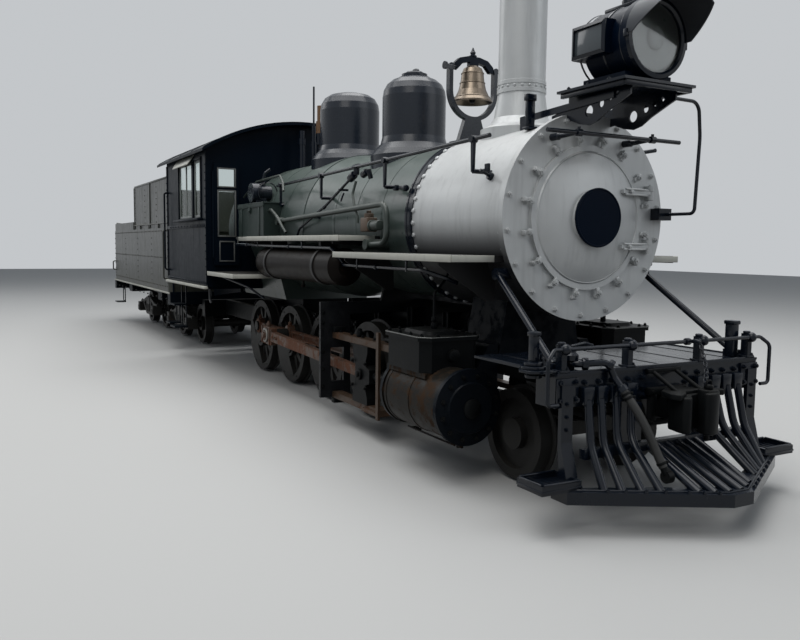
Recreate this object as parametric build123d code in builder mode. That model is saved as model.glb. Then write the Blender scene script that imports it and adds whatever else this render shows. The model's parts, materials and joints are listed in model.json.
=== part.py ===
"""A narrow-gauge freight locomotive with eight coupled wheels, a two-wheel leading truck and its tender.

Lengths are in millimetres. X points to the front, Y to the engine's left and Z up. The origin is
on the track's middle line, halfway along, level with the lowest edge of the wheel flanges.
"""

import math
import os

from build123d import *

os.makedirs("parts", exist_ok=True)

RIGHT = -1
LEFT = 1
SIDES = (RIGHT, LEFT)

# Fits between pieces
seat_gap = 0.3
running_fit = 0.1
clear = 6.0

# Track and wheels
gauge = 914.0
flange_depth = 25.0
flange_thickness = 30.0
tread_width = 105.0
wheel_back_y = gauge / 2 - 32
wheel_face_y = wheel_back_y + flange_thickness + tread_width
rail_z = flange_depth

# Places along the engine, counted back from the smokebox front
front_x = 6400.0
smokebox_rear_x = front_x - 1350
boiler_taper_front_x = front_x - 3050
boiler_taper_rear_x = front_x - 3650
firebox_front_x = front_x - 4800
cab_front_x = front_x - 5580
backhead_x = front_x - 6450
cab_rear_x = front_x - 7850
frame_rear_x = front_x - 7980
beam_front_x = front_x + 826

# Boiler
boiler_z = rail_z + 1914
boiler_r = 700.0
boiler_big_r = 800.0
smokebox_r = 720.0
smokebox_wall = 16.0
front_ring_r = 764.0
front_ring_thickness = 40.0
door_r = 530.0
door_hole_r = 490.0
door_depth = 105.0
number_plate_r = 210.0
number_plate_thickness = 25.0
door_hinge_y = 600.0
door_hinge_x = front_x + 55

# Running gear
driver_r = 470.0
driver_spacing = 1101.0
first_driver_x = front_x - 2459
driver_axle_r = 85.0
main_axle_number = 3
crank_throw = 254.0
right_crank_deg = 36.0
left_crank_deg = right_crank_deg - 90
boss_face_y = 600.0
side_rod_thickness = 70.0
side_rod_y = boss_face_y + clear + side_rod_thickness / 2
side_rod_pin_r = 50.0
main_pin_r = 60.0
side_rod_depth = 96.0
cylinder_y = 910.0
cylinder_z = rail_z + 540
main_rod_length = 2650.0
main_rod_thickness = 70.0
main_rod_inner_y = cylinder_y - main_rod_thickness / 2
driver_x = [first_driver_x - driver_spacing * k for k in range(4)]
driver_z = rail_z + driver_r
main_x = driver_x[main_axle_number - 1]
axle_pin_end_y = side_rod_y + side_rod_thickness / 2 + clear

# Engine frame
frame_y = 370.0
frame_thickness = 80.0
frame_top_z = rail_z + 800
frame_front_bar = 95.0
pedestal_bottom_z = rail_z + 230

# Leading truck
pony_r = 330.0
pony_x = front_x - 70
pony_z = rail_z + pony_r
pony_axle_r = 60.0
pony_pivot_x = front_x - 1600
pony_pivot_z = rail_z + 400

# Tender
drawbar_pin_x = frame_rear_x - 250
drawbar_pin_r = 48.0
tender_front_x = front_x - 8400
tender_rear_x = front_x - 13850
tender_wheel_r = 330.0
tender_z = rail_z + 705
tender_frame_depth = 170.0
tender_half_width = 1200.0
tank_top_z = rail_z + 1950
coal_board_z = rail_z + 2760
tender_truck_x = (tender_front_x - 1250, tender_rear_x + 1350)
tender_wheelbase = 1370.0
tender_axle_r = 62.0
coupler_z = rail_z + 660


def side_plane(y):
    """A plane across the track at y, with x to the front and its second axis up."""
    return Plane.XZ.offset(-y)


def cross_plane(x):
    """A plane across the engine at x, with its first axis to the left and its second up."""
    return Plane.YZ.offset(x)


def turned(points, x, z, degrees):
    """Points drawn from a pivot along a bar, turned by degrees about the pivot at x and z."""
    turn = math.radians(degrees)
    return [
        (x + a * math.cos(turn) - b * math.sin(turn), z + a * math.sin(turn) + b * math.cos(turn))
        for a, b in points
    ]


def finish(builder, name):
    """Name a finished piece and write it."""
    builder.part.label = name
    export_step(builder.part, f"parts/{name}.step")


def crank_place(axle_x, degrees):
    """The middle of a crank pin on the axle at axle_x, as x and z."""
    turn = math.radians(degrees)
    return axle_x + crank_throw * math.cos(turn), driver_z + crank_throw * math.sin(turn)


def wrist_place(degrees):
    """The x of the crosshead pin that the main rod reaches from the main crank pin."""
    pin_x, pin_z = crank_place(main_x, degrees)
    return pin_x + math.sqrt(main_rod_length**2 - (cylinder_z - pin_z) ** 2)


def boiler_envelope(extra):
    """The outside of smokebox, barrel and firebox crown, grown by extra, to seat pieces on."""
    with BuildPart() as envelope:
        with BuildSketch(Plane.XZ) as half:
            with BuildLine():
                Polyline(
                    (backhead_x, boiler_z),
                    (backhead_x, boiler_z + boiler_big_r + extra),
                    (boiler_taper_rear_x, boiler_z + boiler_big_r + extra),
                    (boiler_taper_front_x, boiler_z + boiler_r + extra),
                    (smokebox_rear_x, boiler_z + boiler_r + extra),
                    (smokebox_rear_x, boiler_z + smokebox_r + extra),
                    (front_x, boiler_z + smokebox_r + extra),
                    (front_x, boiler_z),
                    close=True,
                )
            make_face()
        revolve(axis=Axis((0, 0, boiler_z), (1, 0, 0)))
    return envelope.part


def wheel_rim(axle_x, axle_z, side, tread_r, rim_inner_r, chamfer_by=8):
    """The tyre and rim of one wheel."""
    inner = side * wheel_back_y
    root = side * (wheel_back_y + flange_thickness)
    face = side * wheel_face_y
    plane = Plane(origin=(axle_x, 0, axle_z), x_dir=(1, 0, 0), z_dir=(0, 0, 1))
    with BuildPart() as rim:
        with BuildSketch(plane):
            with BuildLine():
                Polyline(
                    (rim_inner_r, inner),
                    (tread_r + flange_depth - chamfer_by, inner),
                    (tread_r + flange_depth, inner + side * chamfer_by),
                    (tread_r + flange_depth, root - side * chamfer_by),
                    (tread_r, root),
                    (tread_r, face),
                    (rim_inner_r, face),
                    close=True,
                )
            make_face()
        revolve(axis=Axis((axle_x, 0, axle_z), (0, 1, 0)))
    return rim.part


def axle_bar(axle_x, axle_z, radius, half_length):
    """A round bar along Y, as long on both sides."""
    with BuildPart() as bar:
        with BuildSketch(side_plane(-half_length)):
            with Locations((axle_x, axle_z)):
                Circle(radius)
        extrude(amount=-2 * half_length)
    return bar.part


def side_disc(x, z, radius, side, y_from, y_to):
    """A round boss on one side, from y_from out to y_to."""
    with BuildPart() as disc:
        with BuildSketch(side_plane(side * y_from)):
            with Locations((x, z)):
                Circle(radius)
        extrude(amount=-side * (y_to - y_from))
    return disc.part


# Driving wheels: hub, twelve tapered spokes, counterweight, crank boss and pin
driver_rim_inner_r = 385.0
driver_hub_r = 150.0
spoke_count = 12
spoke_thickness = 55.0
spoke_y = wheel_back_y + 40
counterweight_depth = 215.0


def driver_axle(number):
    """One driving axle with both of its wheels and crank pins."""
    axle_x = driver_x[number - 1]
    is_main = number == main_axle_number
    pin_r = main_pin_r if is_main else side_rod_pin_r
    weight_depth = counterweight_depth + (60 if is_main else 0)
    with BuildPart() as axle:
        add(axle_bar(axle_x, driver_z, driver_axle_r, wheel_back_y))
        for side, degrees in ((RIGHT, right_crank_deg), (LEFT, left_crank_deg)):
            pin_x, pin_z = crank_place(axle_x, degrees)
            add(wheel_rim(axle_x, driver_z, side, driver_r, driver_rim_inner_r))
            add(side_disc(axle_x, driver_z, driver_hub_r, side, wheel_back_y, wheel_face_y + 20))
            with BuildSketch(side_plane(side * spoke_y)) as spokes:
                for k in range(spoke_count):
                    spoke = [
                        (driver_hub_r - 10, -36),
                        (driver_rim_inner_r + 6, -24),
                        (driver_rim_inner_r + 6, 24),
                        (driver_hub_r - 10, 36),
                    ]
                    spoke_deg = degrees + (k + 0.5) * 360 / spoke_count
                    with BuildLine():
                        Polyline(*turned(spoke, axle_x, driver_z, spoke_deg), close=True)
                    make_face()
            extrude(amount=-side * spoke_thickness)
            with BuildSketch(side_plane(side * (spoke_y - 5))):
                with Locations(Location((axle_x, driver_z, 0), (0, 0, degrees + 180))):
                    Circle(driver_rim_inner_r + 4)
                    with Locations((driver_rim_inner_r - weight_depth, 0)):
                        Rectangle(
                            2 * driver_r, 2 * driver_r, align=(Align.MIN, Align.CENTER), mode=Mode.INTERSECT
                        )
            extrude(amount=-side * (wheel_face_y + 12 - spoke_y + 5))
            with BuildSketch(side_plane(side * spoke_y)):
                with Locations(Location((axle_x, driver_z, 0), (0, 0, degrees))):
                    with Locations((crank_throw / 2, 0)):
                        SlotCenterToCenter(crank_throw, 2 * (pin_r + 52))
            extrude(amount=-side * (boss_face_y - spoke_y))
            add(side_disc(pin_x, pin_z, pin_r, side, spoke_y, axle_pin_end_y + 4))
            if is_main:
                add(side_disc(pin_x, pin_z, pin_r + 8, side, axle_pin_end_y, main_rod_inner_y - clear))
            else:
                add(side_disc(pin_x, pin_z, pin_r + 12, side, axle_pin_end_y, axle_pin_end_y + 20))
    return axle


for number in range(1, 5):
    finish(driver_axle(number), f"driver_axle_{number}")


# Side rods, one rigid bar a side with an eye for each crank pin
def side_rod(side, degrees):
    """The coupling rod of one side, at the cranks' place."""
    inner_y = side_rod_y - side_rod_thickness / 2
    web_thickness = 44
    with BuildPart() as rod:
        first_x, pin_z = crank_place(driver_x[0], degrees)
        last_x = crank_place(driver_x[3], degrees)[0]
        with BuildSketch(side_plane(side * (side_rod_y - web_thickness / 2))):
            with Locations(((first_x + last_x) / 2, pin_z)):
                Rectangle(first_x - last_x, side_rod_depth)
        extrude(amount=-side * web_thickness)
        for number, axle_x in enumerate(driver_x, start=1):
            pin_x = crank_place(axle_x, degrees)[0]
            pin_r = main_pin_r if number == main_axle_number else side_rod_pin_r
            add(side_disc(pin_x, pin_z, pin_r + 45, side, inner_y, inner_y + side_rod_thickness))
        for middle_x in [(driver_x[k] + driver_x[k + 1]) / 2 for k in range(3)]:
            offset_x = middle_x + crank_throw * math.cos(math.radians(degrees))
            with BuildSketch(side_plane(side * (side_rod_y + web_thickness / 2))):
                with Locations((offset_x, pin_z)):
                    SlotOverall(driver_spacing - 330, side_rod_depth - 44)
            extrude(amount=side * 10, mode=Mode.SUBTRACT)
        for number, axle_x in enumerate(driver_x, start=1):
            pin_x = crank_place(axle_x, degrees)[0]
            pin_r = main_pin_r if number == main_axle_number else side_rod_pin_r
            with BuildSketch(side_plane(side * inner_y)):
                with Locations((pin_x, pin_z)):
                    Circle(pin_r + running_fit)
            extrude(amount=-side * side_rod_thickness, mode=Mode.SUBTRACT)
    return rod


finish(side_rod(RIGHT, right_crank_deg), "side_rod_right")
finish(side_rod(LEFT, left_crank_deg), "side_rod_left")


# Crossheads with their piston rods, and the main rods
crosshead_length = 300.0
crosshead_half_height = 262.0
crosshead_cheek = 28.0
wrist_r = 36.0
piston_rod_r = 38.0
cylinder_rear_x = front_x - 1000
guide_bar_height = 58.0
guide_rear_x = front_x - 2450
main_rod_eye_r = 78.0

with BuildPart() as crossheads:
    for side, degrees in ((RIGHT, right_crank_deg), (LEFT, left_crank_deg)):
        wrist_x = wrist_place(degrees)
        cheek_y = main_rod_inner_y - 2 - crosshead_cheek
        thickness = main_rod_thickness + 4 + 2 * crosshead_cheek
        with BuildSketch(side_plane(side * cheek_y)):
            with BuildLine():
                Polyline(
                    (wrist_x - 150, cylinder_z + crosshead_half_height),
                    (wrist_x + 150, cylinder_z + crosshead_half_height),
                    (wrist_x + 150, cylinder_z + crosshead_half_height - 60),
                    (wrist_x + 100, cylinder_z + 90),
                    (wrist_x + 190, cylinder_z + 60),
                    (wrist_x + 190, cylinder_z - 60),
                    (wrist_x + 100, cylinder_z - 90),
                    (wrist_x + 150, cylinder_z - crosshead_half_height + 60),
                    (wrist_x + 150, cylinder_z - crosshead_half_height),
                    (wrist_x - 150, cylinder_z - crosshead_half_height),
                    (wrist_x - 150, cylinder_z - crosshead_half_height + 60),
                    (wrist_x - 95, cylinder_z - 80),
                    (wrist_x - 95, cylinder_z + 80),
                    (wrist_x - 150, cylinder_z + crosshead_half_height - 60),
                    close=True,
                )
            make_face()
        extrude(amount=-side * thickness)
        with BuildSketch(side_plane(side * (main_rod_inner_y - 2))):
            with Locations((wrist_x, cylinder_z)):
                Circle(main_rod_eye_r + 12)
            with Locations((wrist_x - 90, cylinder_z)):
                Rectangle(180, 2 * (main_rod_eye_r + 12))
        extrude(amount=-side * (main_rod_thickness + 4), mode=Mode.SUBTRACT)
        add(side_disc(wrist_x, cylinder_z, wrist_r, side, cheek_y - 6, cheek_y + thickness + 12))
        with BuildSketch(cross_plane(wrist_x + 180)):
            with Locations((side * cylinder_y, cylinder_z)):
                Circle(piston_rod_r)
        extrude(amount=cylinder_rear_x - 62 - wrist_x - 180)
finish(crossheads, "crossheads")

with BuildPart() as main_rods:
    for side, degrees in ((RIGHT, right_crank_deg), (LEFT, left_crank_deg)):
        pin_x, pin_z = crank_place(main_x, degrees)
        wrist_x = wrist_place(degrees)
        lean = math.degrees(math.atan2(cylinder_z - pin_z, wrist_x - pin_x))
        with BuildSketch(side_plane(side * main_rod_inner_y)):
            with Locations(Location((pin_x, pin_z, 0), (0, 0, lean))):
                with Locations((20, 0)):
                    RectangleRounded(330, 210, 24)
            with BuildLine():
                shank = [(180, -56), (main_rod_length, -42), (main_rod_length, 42), (180, 56)]
                Polyline(*turned(shank, pin_x, pin_z, lean), close=True)
            make_face()
            with Locations((wrist_x, cylinder_z)):
                Circle(main_rod_eye_r)
                Circle(wrist_r + running_fit, mode=Mode.SUBTRACT)
        extrude(amount=-side * main_rod_thickness)
        outer_y = main_rod_inner_y + main_rod_thickness
        add(side_disc(pin_x, pin_z, main_pin_r, side, outer_y, outer_y + 30))
finish(main_rods, "main_rods")


# Guide bars, their front hangers and the yoke that holds them behind
guide_half = 52.0
guide_top_z = cylinder_z + crosshead_half_height + seat_gap
guide_low_z = cylinder_z - crosshead_half_height - seat_gap - guide_bar_height
yoke_thickness = 36.0
yoke_inner_y = 770.0
yoke_outer_y = 1085.0
yoke_top_z = rail_z + 1150
with BuildPart() as guides:
    for side in SIDES:
        for bar_z, bar_front_x in (
            (guide_top_z, cylinder_rear_x - 10 - seat_gap),
            (guide_low_z, cylinder_rear_x - 420),
        ):
            with BuildSketch(side_plane(side * (cylinder_y - guide_half))):
                with Locations(((guide_rear_x + bar_front_x) / 2, bar_z + guide_bar_height / 2)):
                    Rectangle(bar_front_x - guide_rear_x, guide_bar_height)
            extrude(amount=-side * 2 * guide_half)
        hanger_x = cylinder_rear_x - 445
        hanger_y = cylinder_y + guide_half
        with BuildSketch(side_plane(side * hanger_y)):
            with Locations((hanger_x, (guide_low_z + guide_top_z) / 2 + 60)):
                Rectangle(46, guide_top_z - guide_low_z + 180)
            with Locations((hanger_x - 150, guide_low_z + 15)):
                Rectangle(300, 30)
        extrude(amount=-side * 24)
        with BuildSketch(cross_plane(guide_rear_x)):
            with Locations((side * (yoke_inner_y + yoke_outer_y) / 2, (guide_low_z + yoke_top_z) / 2)):
                Rectangle(yoke_outer_y - yoke_inner_y, yoke_top_z - guide_low_z)
            with Locations((side * (main_rod_inner_y + main_rod_thickness / 2), cylinder_z)):
                Rectangle(main_rod_thickness + 70, 330, mode=Mode.SUBTRACT)
        extrude(amount=-yoke_thickness)
    with BuildSketch(cross_plane(guide_rear_x)):
        with Locations((0, yoke_top_z - 60)):
            Rectangle(2 * yoke_inner_y + 4, 120)
        with Locations((0, yoke_top_z + 100)):
            Trapezoid(900, 340, 75)
        with Locations((0, boiler_z)):
            Circle(boiler_r + seat_gap, mode=Mode.SUBTRACT)
    extrude(amount=-yoke_thickness)
finish(guides, "guides_and_yoke")


# Main frame: two slotted side plates with a box for each axle, cross ties and the rear beam,
# and the front frame that is bolted on ahead of the drivers
front_frame_joint_x = pony_pivot_x - 190
with BuildPart() as main_frame:
    for side in SIDES:
        with BuildSketch(side_plane(side * (frame_y - frame_thickness / 2))):
            with BuildLine():
                Polyline(
                    (frame_rear_x, frame_top_z - 230),
                    (frame_rear_x, frame_top_z),
                    (beam_front_x - 190, frame_top_z),
                    (beam_front_x - 190, frame_top_z - frame_front_bar),
                    (driver_x[0] + 520, frame_top_z - frame_front_bar),
                    (driver_x[0] + 300, pedestal_bottom_z),
                    (driver_x[3] - 300, pedestal_bottom_z),
                    (driver_x[3] - 520, frame_top_z - 230),
                    close=True,
                )
            make_face()
            for k in range(3):
                middle_x = (driver_x[k] + driver_x[k + 1]) / 2
                with Locations((middle_x, driver_z - 5)):
                    RectangleRounded(driver_spacing - 470, 290, 50, mode=Mode.SUBTRACT)
        extrude(amount=-side * frame_thickness)
        for axle_x in driver_x:
            with BuildSketch(side_plane(side * (frame_y - frame_thickness / 2 - 10))):
                with Locations((axle_x, driver_z)):
                    Rectangle(270, 300)
            extrude(amount=-side * (frame_thickness + 12))
    tie_half = frame_y - frame_thickness / 2 + 2
    # x of the tie's middle, its length along the engine, its lowest and highest z
    cross_ties = [
        ((driver_x[0] + driver_x[1]) / 2, 44, pedestal_bottom_z, frame_top_z - 40),
        ((driver_x[1] + driver_x[2]) / 2, 44, pedestal_bottom_z, frame_top_z - 40),
        (pony_pivot_x, 260, frame_top_z - 95, frame_top_z),
        (driver_x[3] - 700, 60, frame_top_z - 200, frame_top_z),
    ]
    for tie_x, tie_length, tie_low, tie_high in cross_ties:
        with BuildSketch(cross_plane(tie_x - tie_length / 2)):
            with Locations((0, (tie_low + tie_high) / 2)):
                Rectangle(2 * tie_half, tie_high - tie_low)
        extrude(amount=tie_length)
    with BuildSketch(cross_plane(frame_rear_x - 150)):
        with Locations((0, frame_top_z - 130)):
            Rectangle(1500, 260)
    extrude(amount=152)
    for axle_x in driver_x:
        with BuildSketch(side_plane(-frame_y - 100)):
            with Locations((axle_x, driver_z)):
                Circle(driver_axle_r + running_fit)
        extrude(amount=-2 * (frame_y + 100), mode=Mode.SUBTRACT)
    with BuildSketch(Plane.XY.offset(pony_pivot_z - 60)):
        with Locations((pony_pivot_x, 0)):
            Circle(45)
    extrude(amount=frame_top_z - 90 - pony_pivot_z + 60)
    with BuildSketch(cross_plane(front_frame_joint_x)):
        with Locations((0, frame_top_z - frame_front_bar / 2)):
            Rectangle(2 * frame_y + 2 * frame_thickness, frame_front_bar + 10)
    extrude(amount=seat_gap, mode=Mode.SUBTRACT)
    with BuildSketch(Plane.XY.offset(pony_pivot_z - 84)):
        with Locations((pony_pivot_x, 0)):
            Circle(70)
    extrude(amount=25)
    with BuildSketch(Plane.XY.offset(rail_z + 632)):
        with Locations(((frame_rear_x - 150 + drawbar_pin_x) / 2 - 20, 0)):
            Rectangle(frame_rear_x - 150 - drawbar_pin_x + 132, 170)
    extrude(amount=70)
    with BuildSketch(Plane.XY.offset(rail_z + 540)):
        with Locations((drawbar_pin_x, 0)):
            Circle(drawbar_pin_r)
    extrude(amount=180)
finish(main_frame, "main_frame")


# Cylinders with the saddle that carries the smokebox, one casting
# distance behind the smokebox front, radius
cylinder_turns = [
    (1060, 0),
    (1060, 78),
    (1000, 78),
    (1000, 275),
    (962, 275),
    (962, 262),
    (170, 262),
    (170, 280),
    (132, 280),
    (110, 190),
    (98, 182),
    (98, 0),
]


def cylinder_body(side, extra):
    """One cylinder with its covers, grown by extra."""
    with BuildPart() as body:
        with BuildSketch(side_plane(side * cylinder_y)):
            with BuildLine():
                outline = [(front_x - back, cylinder_z + (r + extra if r else 0)) for back, r in cylinder_turns]
                Polyline(*outline, close=True)
            make_face()
        revolve(axis=Axis((0, side * cylinder_y, cylinder_z), (1, 0, 0)))
    return body.part


with BuildPart() as cylinders:
    for side in SIDES:
        add(cylinder_body(side, 0))
    with BuildSketch(cross_plane(front_x - 960)):
        with Locations((0, (frame_top_z + boiler_z) / 2)):
            Trapezoid(830, boiler_z - frame_top_z - 2 * seat_gap, 80)
        for side in SIDES:
            with BuildLine():
                Polyline(
                    (side * 414, frame_top_z + 140),
                    (side * 500, frame_top_z + 140),
                    (side * 600, rail_z + 760),
                    (side * 1120, rail_z + 760),
                    (side * 1120, rail_z + 720),
                    (side * cylinder_y, rail_z + 700),
                    (side * 660, cylinder_z - 60),
                    (side * 414, cylinder_z + 60),
                    close=True,
                )
            make_face()
        with Locations((0, boiler_z)):
            Circle(smokebox_r + seat_gap, mode=Mode.SUBTRACT)
    extrude(amount=480)
    for side in SIDES:
        with BuildSketch(Plane.XY.offset(rail_z + 720)):
            with Locations((front_x - 700, side * 890)):
                Rectangle(600, 460)
        extrude(amount=40)
finish(cylinders, "cylinders_and_saddle")

chest_x = front_x - 700
chest_y = 890.0
chest_low_z = rail_z + 760 + seat_gap
chest_height = 235.0
with BuildPart() as steam_chests:
    for side in SIDES:
        with BuildSketch(Plane.XY.offset(chest_low_z)):
            with Locations((chest_x, side * chest_y)):
                chest_outline = Rectangle(620, 500)
            chamfer(chest_outline.vertices(), 70)
        extrude(amount=chest_height)
        with BuildSketch(Plane.XY.offset(chest_low_z + chest_height)):
            with Locations((chest_x, side * chest_y)):
                lid_outline = Rectangle(660, 540)
            chamfer(lid_outline.vertices(), 75)
        extrude(amount=34)
        with BuildSketch(Plane.XY.offset(chest_low_z + chest_height + 34)):
            with Locations((chest_x, side * chest_y)):
                RectangleRounded(420, 330, 90)
        extrude(amount=26, taper=30)
        add(cylinder_body(side, seat_gap), mode=Mode.SUBTRACT)
finish(steam_chests, "steam_chests")


# Boiler: tapered barrel and the firebox wrapper behind it
firebox_half_width = 560.0
firebox_low_z = rail_z + 1010


def firebox_outline(extra):
    """The firebox wrapper's cross-section, grown by extra."""
    with BuildSketch() as outline:
        with Locations((0, boiler_z)):
            Circle(boiler_big_r + extra)
        with BuildLine():
            Polyline(
                (-boiler_big_r - extra, boiler_z),
                (-firebox_half_width - extra, firebox_low_z - extra),
                (firebox_half_width + extra, firebox_low_z - extra),
                (boiler_big_r + extra, boiler_z),
                close=True,
            )
        make_face()
    return outline.sketch


with BuildPart() as boiler:
    with BuildSketch(Plane.XZ):
        with BuildLine():
            Polyline(
                (smokebox_rear_x - seat_gap, boiler_z),
                (smokebox_rear_x - seat_gap, boiler_z + boiler_r),
                (boiler_taper_front_x, boiler_z + boiler_r),
                (boiler_taper_rear_x, boiler_z + boiler_big_r),
                (firebox_front_x, boiler_z + boiler_big_r),
                (firebox_front_x, boiler_z),
                close=True,
            )
        make_face()
    revolve(axis=Axis((0, 0, boiler_z), (1, 0, 0)))
    with BuildSketch(cross_plane(backhead_x)):
        add(firebox_outline(0))
    extrude(amount=firebox_front_x - backhead_x + 1)
finish(boiler, "boiler")

ashpan_half = frame_y - frame_thickness / 2 - 20
with BuildPart() as firebox:
    with BuildSketch(side_plane(-ashpan_half)):
        with BuildLine():
            Polyline(
                (firebox_front_x - 60, firebox_low_z - seat_gap),
                (firebox_front_x - 60, frame_top_z - 60),
                (driver_x[3] + 320, frame_top_z - 330),
                (driver_x[3] + 160, frame_top_z - 330),
                (driver_x[3] + 120, frame_top_z - 170),
                (driver_x[3] - 120, frame_top_z - 170),
                (driver_x[3] - 160, frame_top_z - 330),
                (backhead_x + 260, frame_top_z - 330),
                (backhead_x + 60, frame_top_z - 60),
                (backhead_x + 60, firebox_low_z - seat_gap),
                close=True,
            )
        make_face()
    extrude(amount=-2 * ashpan_half)
finish(firebox, "firebox_and_ashpan")


# Smokebox: a hollow shell, open at the front behind the door
stack_x = front_x - 810
stack_bore_r = 158.0
front_plate_thickness = 20.0
hinge_lug_z = (boiler_z - 205, boiler_z + 205)
hinge_lug_height = 40.0
hinge_pin_r = 12.0
with BuildPart() as smokebox:
    with BuildSketch(cross_plane(smokebox_rear_x)):
        with Locations((0, boiler_z)):
            Circle(smokebox_r)
            Circle(smokebox_r - smokebox_wall, mode=Mode.SUBTRACT)
    extrude(amount=front_x - smokebox_rear_x)
    with BuildSketch(cross_plane(front_x - front_ring_thickness)):
        with Locations((0, boiler_z)):
            Circle(front_ring_r)
            Circle(smokebox_r - smokebox_wall, mode=Mode.SUBTRACT)
    extrude(amount=front_ring_thickness)
    with BuildSketch(cross_plane(front_x - 1)):
        with Locations((0, boiler_z)):
            Circle(front_ring_r)
            Circle(door_hole_r, mode=Mode.SUBTRACT)
    extrude(amount=front_plate_thickness + 1)
    with BuildSketch(Plane.XY.offset(boiler_z)):
        with Locations((stack_x, 0)):
            Circle(stack_bore_r)
    extrude(amount=boiler_r + 100, mode=Mode.SUBTRACT)
    for lug_z in hinge_lug_z:
        for lug_low_z in (lug_z - hinge_lug_height - 14, lug_z + 14):
            with BuildSketch(Plane.XY.offset(lug_low_z)):
                with Locations((front_x + 40, door_hinge_y)):
                    Rectangle(46, 56)
                with Locations((door_hinge_x, door_hinge_y)):
                    Circle(28)
            extrude(amount=hinge_lug_height)
        with BuildSketch(Plane.XY.offset(lug_z - hinge_lug_height - 14)):
            with Locations((door_hinge_x, door_hinge_y)):
                Circle(hinge_pin_r)
        extrude(amount=2 * hinge_lug_height + 40)
finish(smokebox, "smokebox")

door_back_x = front_x + front_plate_thickness + seat_gap
door_edge = 26.0
with BuildPart() as smokebox_door:
    with BuildSketch(Plane.XZ):
        with BuildLine():
            Line((door_back_x, boiler_z), (door_back_x, boiler_z + door_r))
            Line((door_back_x, boiler_z + door_r), (door_back_x + door_edge, boiler_z + door_r))
            Line((door_back_x + door_edge, boiler_z + door_r), (door_back_x + door_edge, boiler_z + door_r - 50))
            ThreePointArc(
                (door_back_x + door_edge, boiler_z + door_r - 50),
                (door_back_x + door_depth * 0.82, boiler_z + door_r * 0.5),
                (door_back_x + door_depth, boiler_z),
            )
            Line((door_back_x + door_depth, boiler_z), (door_back_x, boiler_z))
        make_face()
    revolve(axis=Axis((0, 0, boiler_z), (1, 0, 0)))
    with BuildSketch(cross_plane(door_back_x + 40)):
        with Locations((0, boiler_z)):
            Circle(number_plate_r)
    extrude(amount=door_depth - 40 + number_plate_thickness)
    for lug_z in hinge_lug_z:
        with BuildSketch(Plane.XY.offset(lug_z - 13)):
            with BuildLine():
                Polyline(
                    (door_hinge_x - 12, door_hinge_y),
                    (door_hinge_x + 18, door_hinge_y),
                    (door_back_x + 96, door_hinge_y - 330),
                    (door_back_x + 60, door_hinge_y - 340),
                    (door_back_x + 20, door_hinge_y - 120),
                    close=True,
                )
            make_face()
            with Locations((door_hinge_x, door_hinge_y)):
                Circle(24)
                Circle(hinge_pin_r + running_fit, mode=Mode.SUBTRACT)
        extrude(amount=26)
finish(smokebox_door, "smokebox_door")


# Smokestack: flared foot on the smokebox, straight tube and a rolled lip
stack_r = 193.0
stack_top_z = rail_z + 4050
with BuildPart() as smokestack:
    with BuildSketch(Plane.XZ):
        with BuildLine():
            Polyline(
                (stack_x + stack_bore_r, boiler_z + smokebox_r - 140),
                (stack_x + 330, boiler_z + smokebox_r - 140),
                (stack_x + 330, boiler_z + smokebox_r + 16),
                (stack_x + 262, boiler_z + smokebox_r + 48),
                (stack_x + 222, boiler_z + smokebox_r + 110),
                (stack_x + 206, boiler_z + smokebox_r + 215),
                (stack_x + stack_r, boiler_z + smokebox_r + 300),
                (stack_x + stack_r, stack_top_z - 60),
                (stack_x + stack_r + 26, stack_top_z - 45),
                (stack_x + stack_r + 26, stack_top_z - 8),
                (stack_x + stack_r + 10, stack_top_z),
                (stack_x + stack_bore_r, stack_top_z),
                close=True,
            )
        make_face()
    revolve(axis=Axis((stack_x, 0, 0), (0, 0, 1)))
    add(boiler_envelope(seat_gap), mode=Mode.SUBTRACT)
finish(smokestack, "smokestack")


# Domes: profiles as distance from the dome's middle line and height above the track
sand_dome_x = front_x - 2600
steam_dome_x = front_x - 4150


def dome(middle_x, outline):
    """A domed casing, turned from its outline and fitted over the boiler."""
    with BuildPart() as casing:
        with BuildSketch(Plane.XZ):
            with BuildLine():
                Polyline(*[(middle_x + r, rail_z + z) for r, z in outline], close=True)
            make_face()
        revolve(axis=Axis((middle_x, 0, 0), (0, 0, 1)))
        add(boiler_envelope(seat_gap), mode=Mode.SUBTRACT)
    return casing


sand_dome_top_z = rail_z + 3390
# radius, height
sand_dome_outline = [
    (0, 2450),
    (440, 2450),
    (440, 2600),
    (400, 2655),
    (340, 2720),
    (322, 2790),
    (322, 3190),
    (312, 3255),
    (280, 3315),
    (225, 3360),
    (160, 3386),
    (160, 3390),
    (0, 3390),
]
steam_dome_outline = [
    (0, 2450),
    (455, 2450),
    (455, 2690),
    (418, 2748),
    (368, 2800),
    (350, 2860),
    (350, 3270),
    (338, 3345),
    (300, 3410),
    (235, 3452),
    (150, 3474),
    (0, 3478),
]
finish(dome(sand_dome_x, sand_dome_outline), "sand_dome")
finish(dome(steam_dome_x, steam_dome_outline), "steam_dome")

sand_lid_r = 130.0
sand_hinge_x = sand_dome_x - sand_lid_r - 26
with BuildPart() as sand_dome_lid:
    with BuildSketch(Plane.XY.offset(sand_dome_top_z + seat_gap)):
        with Locations((sand_dome_x, 0)):
            Circle(sand_lid_r)
    extrude(amount=34)
    with BuildSketch(Plane.XY.offset(sand_dome_top_z + 34)):
        with Locations((sand_dome_x, 0)):
            Circle(sand_lid_r - 30)
    extrude(amount=22, taper=35)
    with BuildSketch(side_plane(-14)):
        with Locations((sand_hinge_x, sand_dome_top_z + 22)):
            Circle(16)
        with Locations((sand_hinge_x + 30, sand_dome_top_z + 20)):
            Rectangle(60, 20)
    extrude(amount=-28)
    with BuildSketch(side_plane(-12)):
        with Locations((sand_dome_x + 20, sand_dome_top_z + 56)):
            SlotOverall(110, 60)
            SlotOverall(80, 30, mode=Mode.SUBTRACT)
    extrude(amount=-24)
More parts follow.
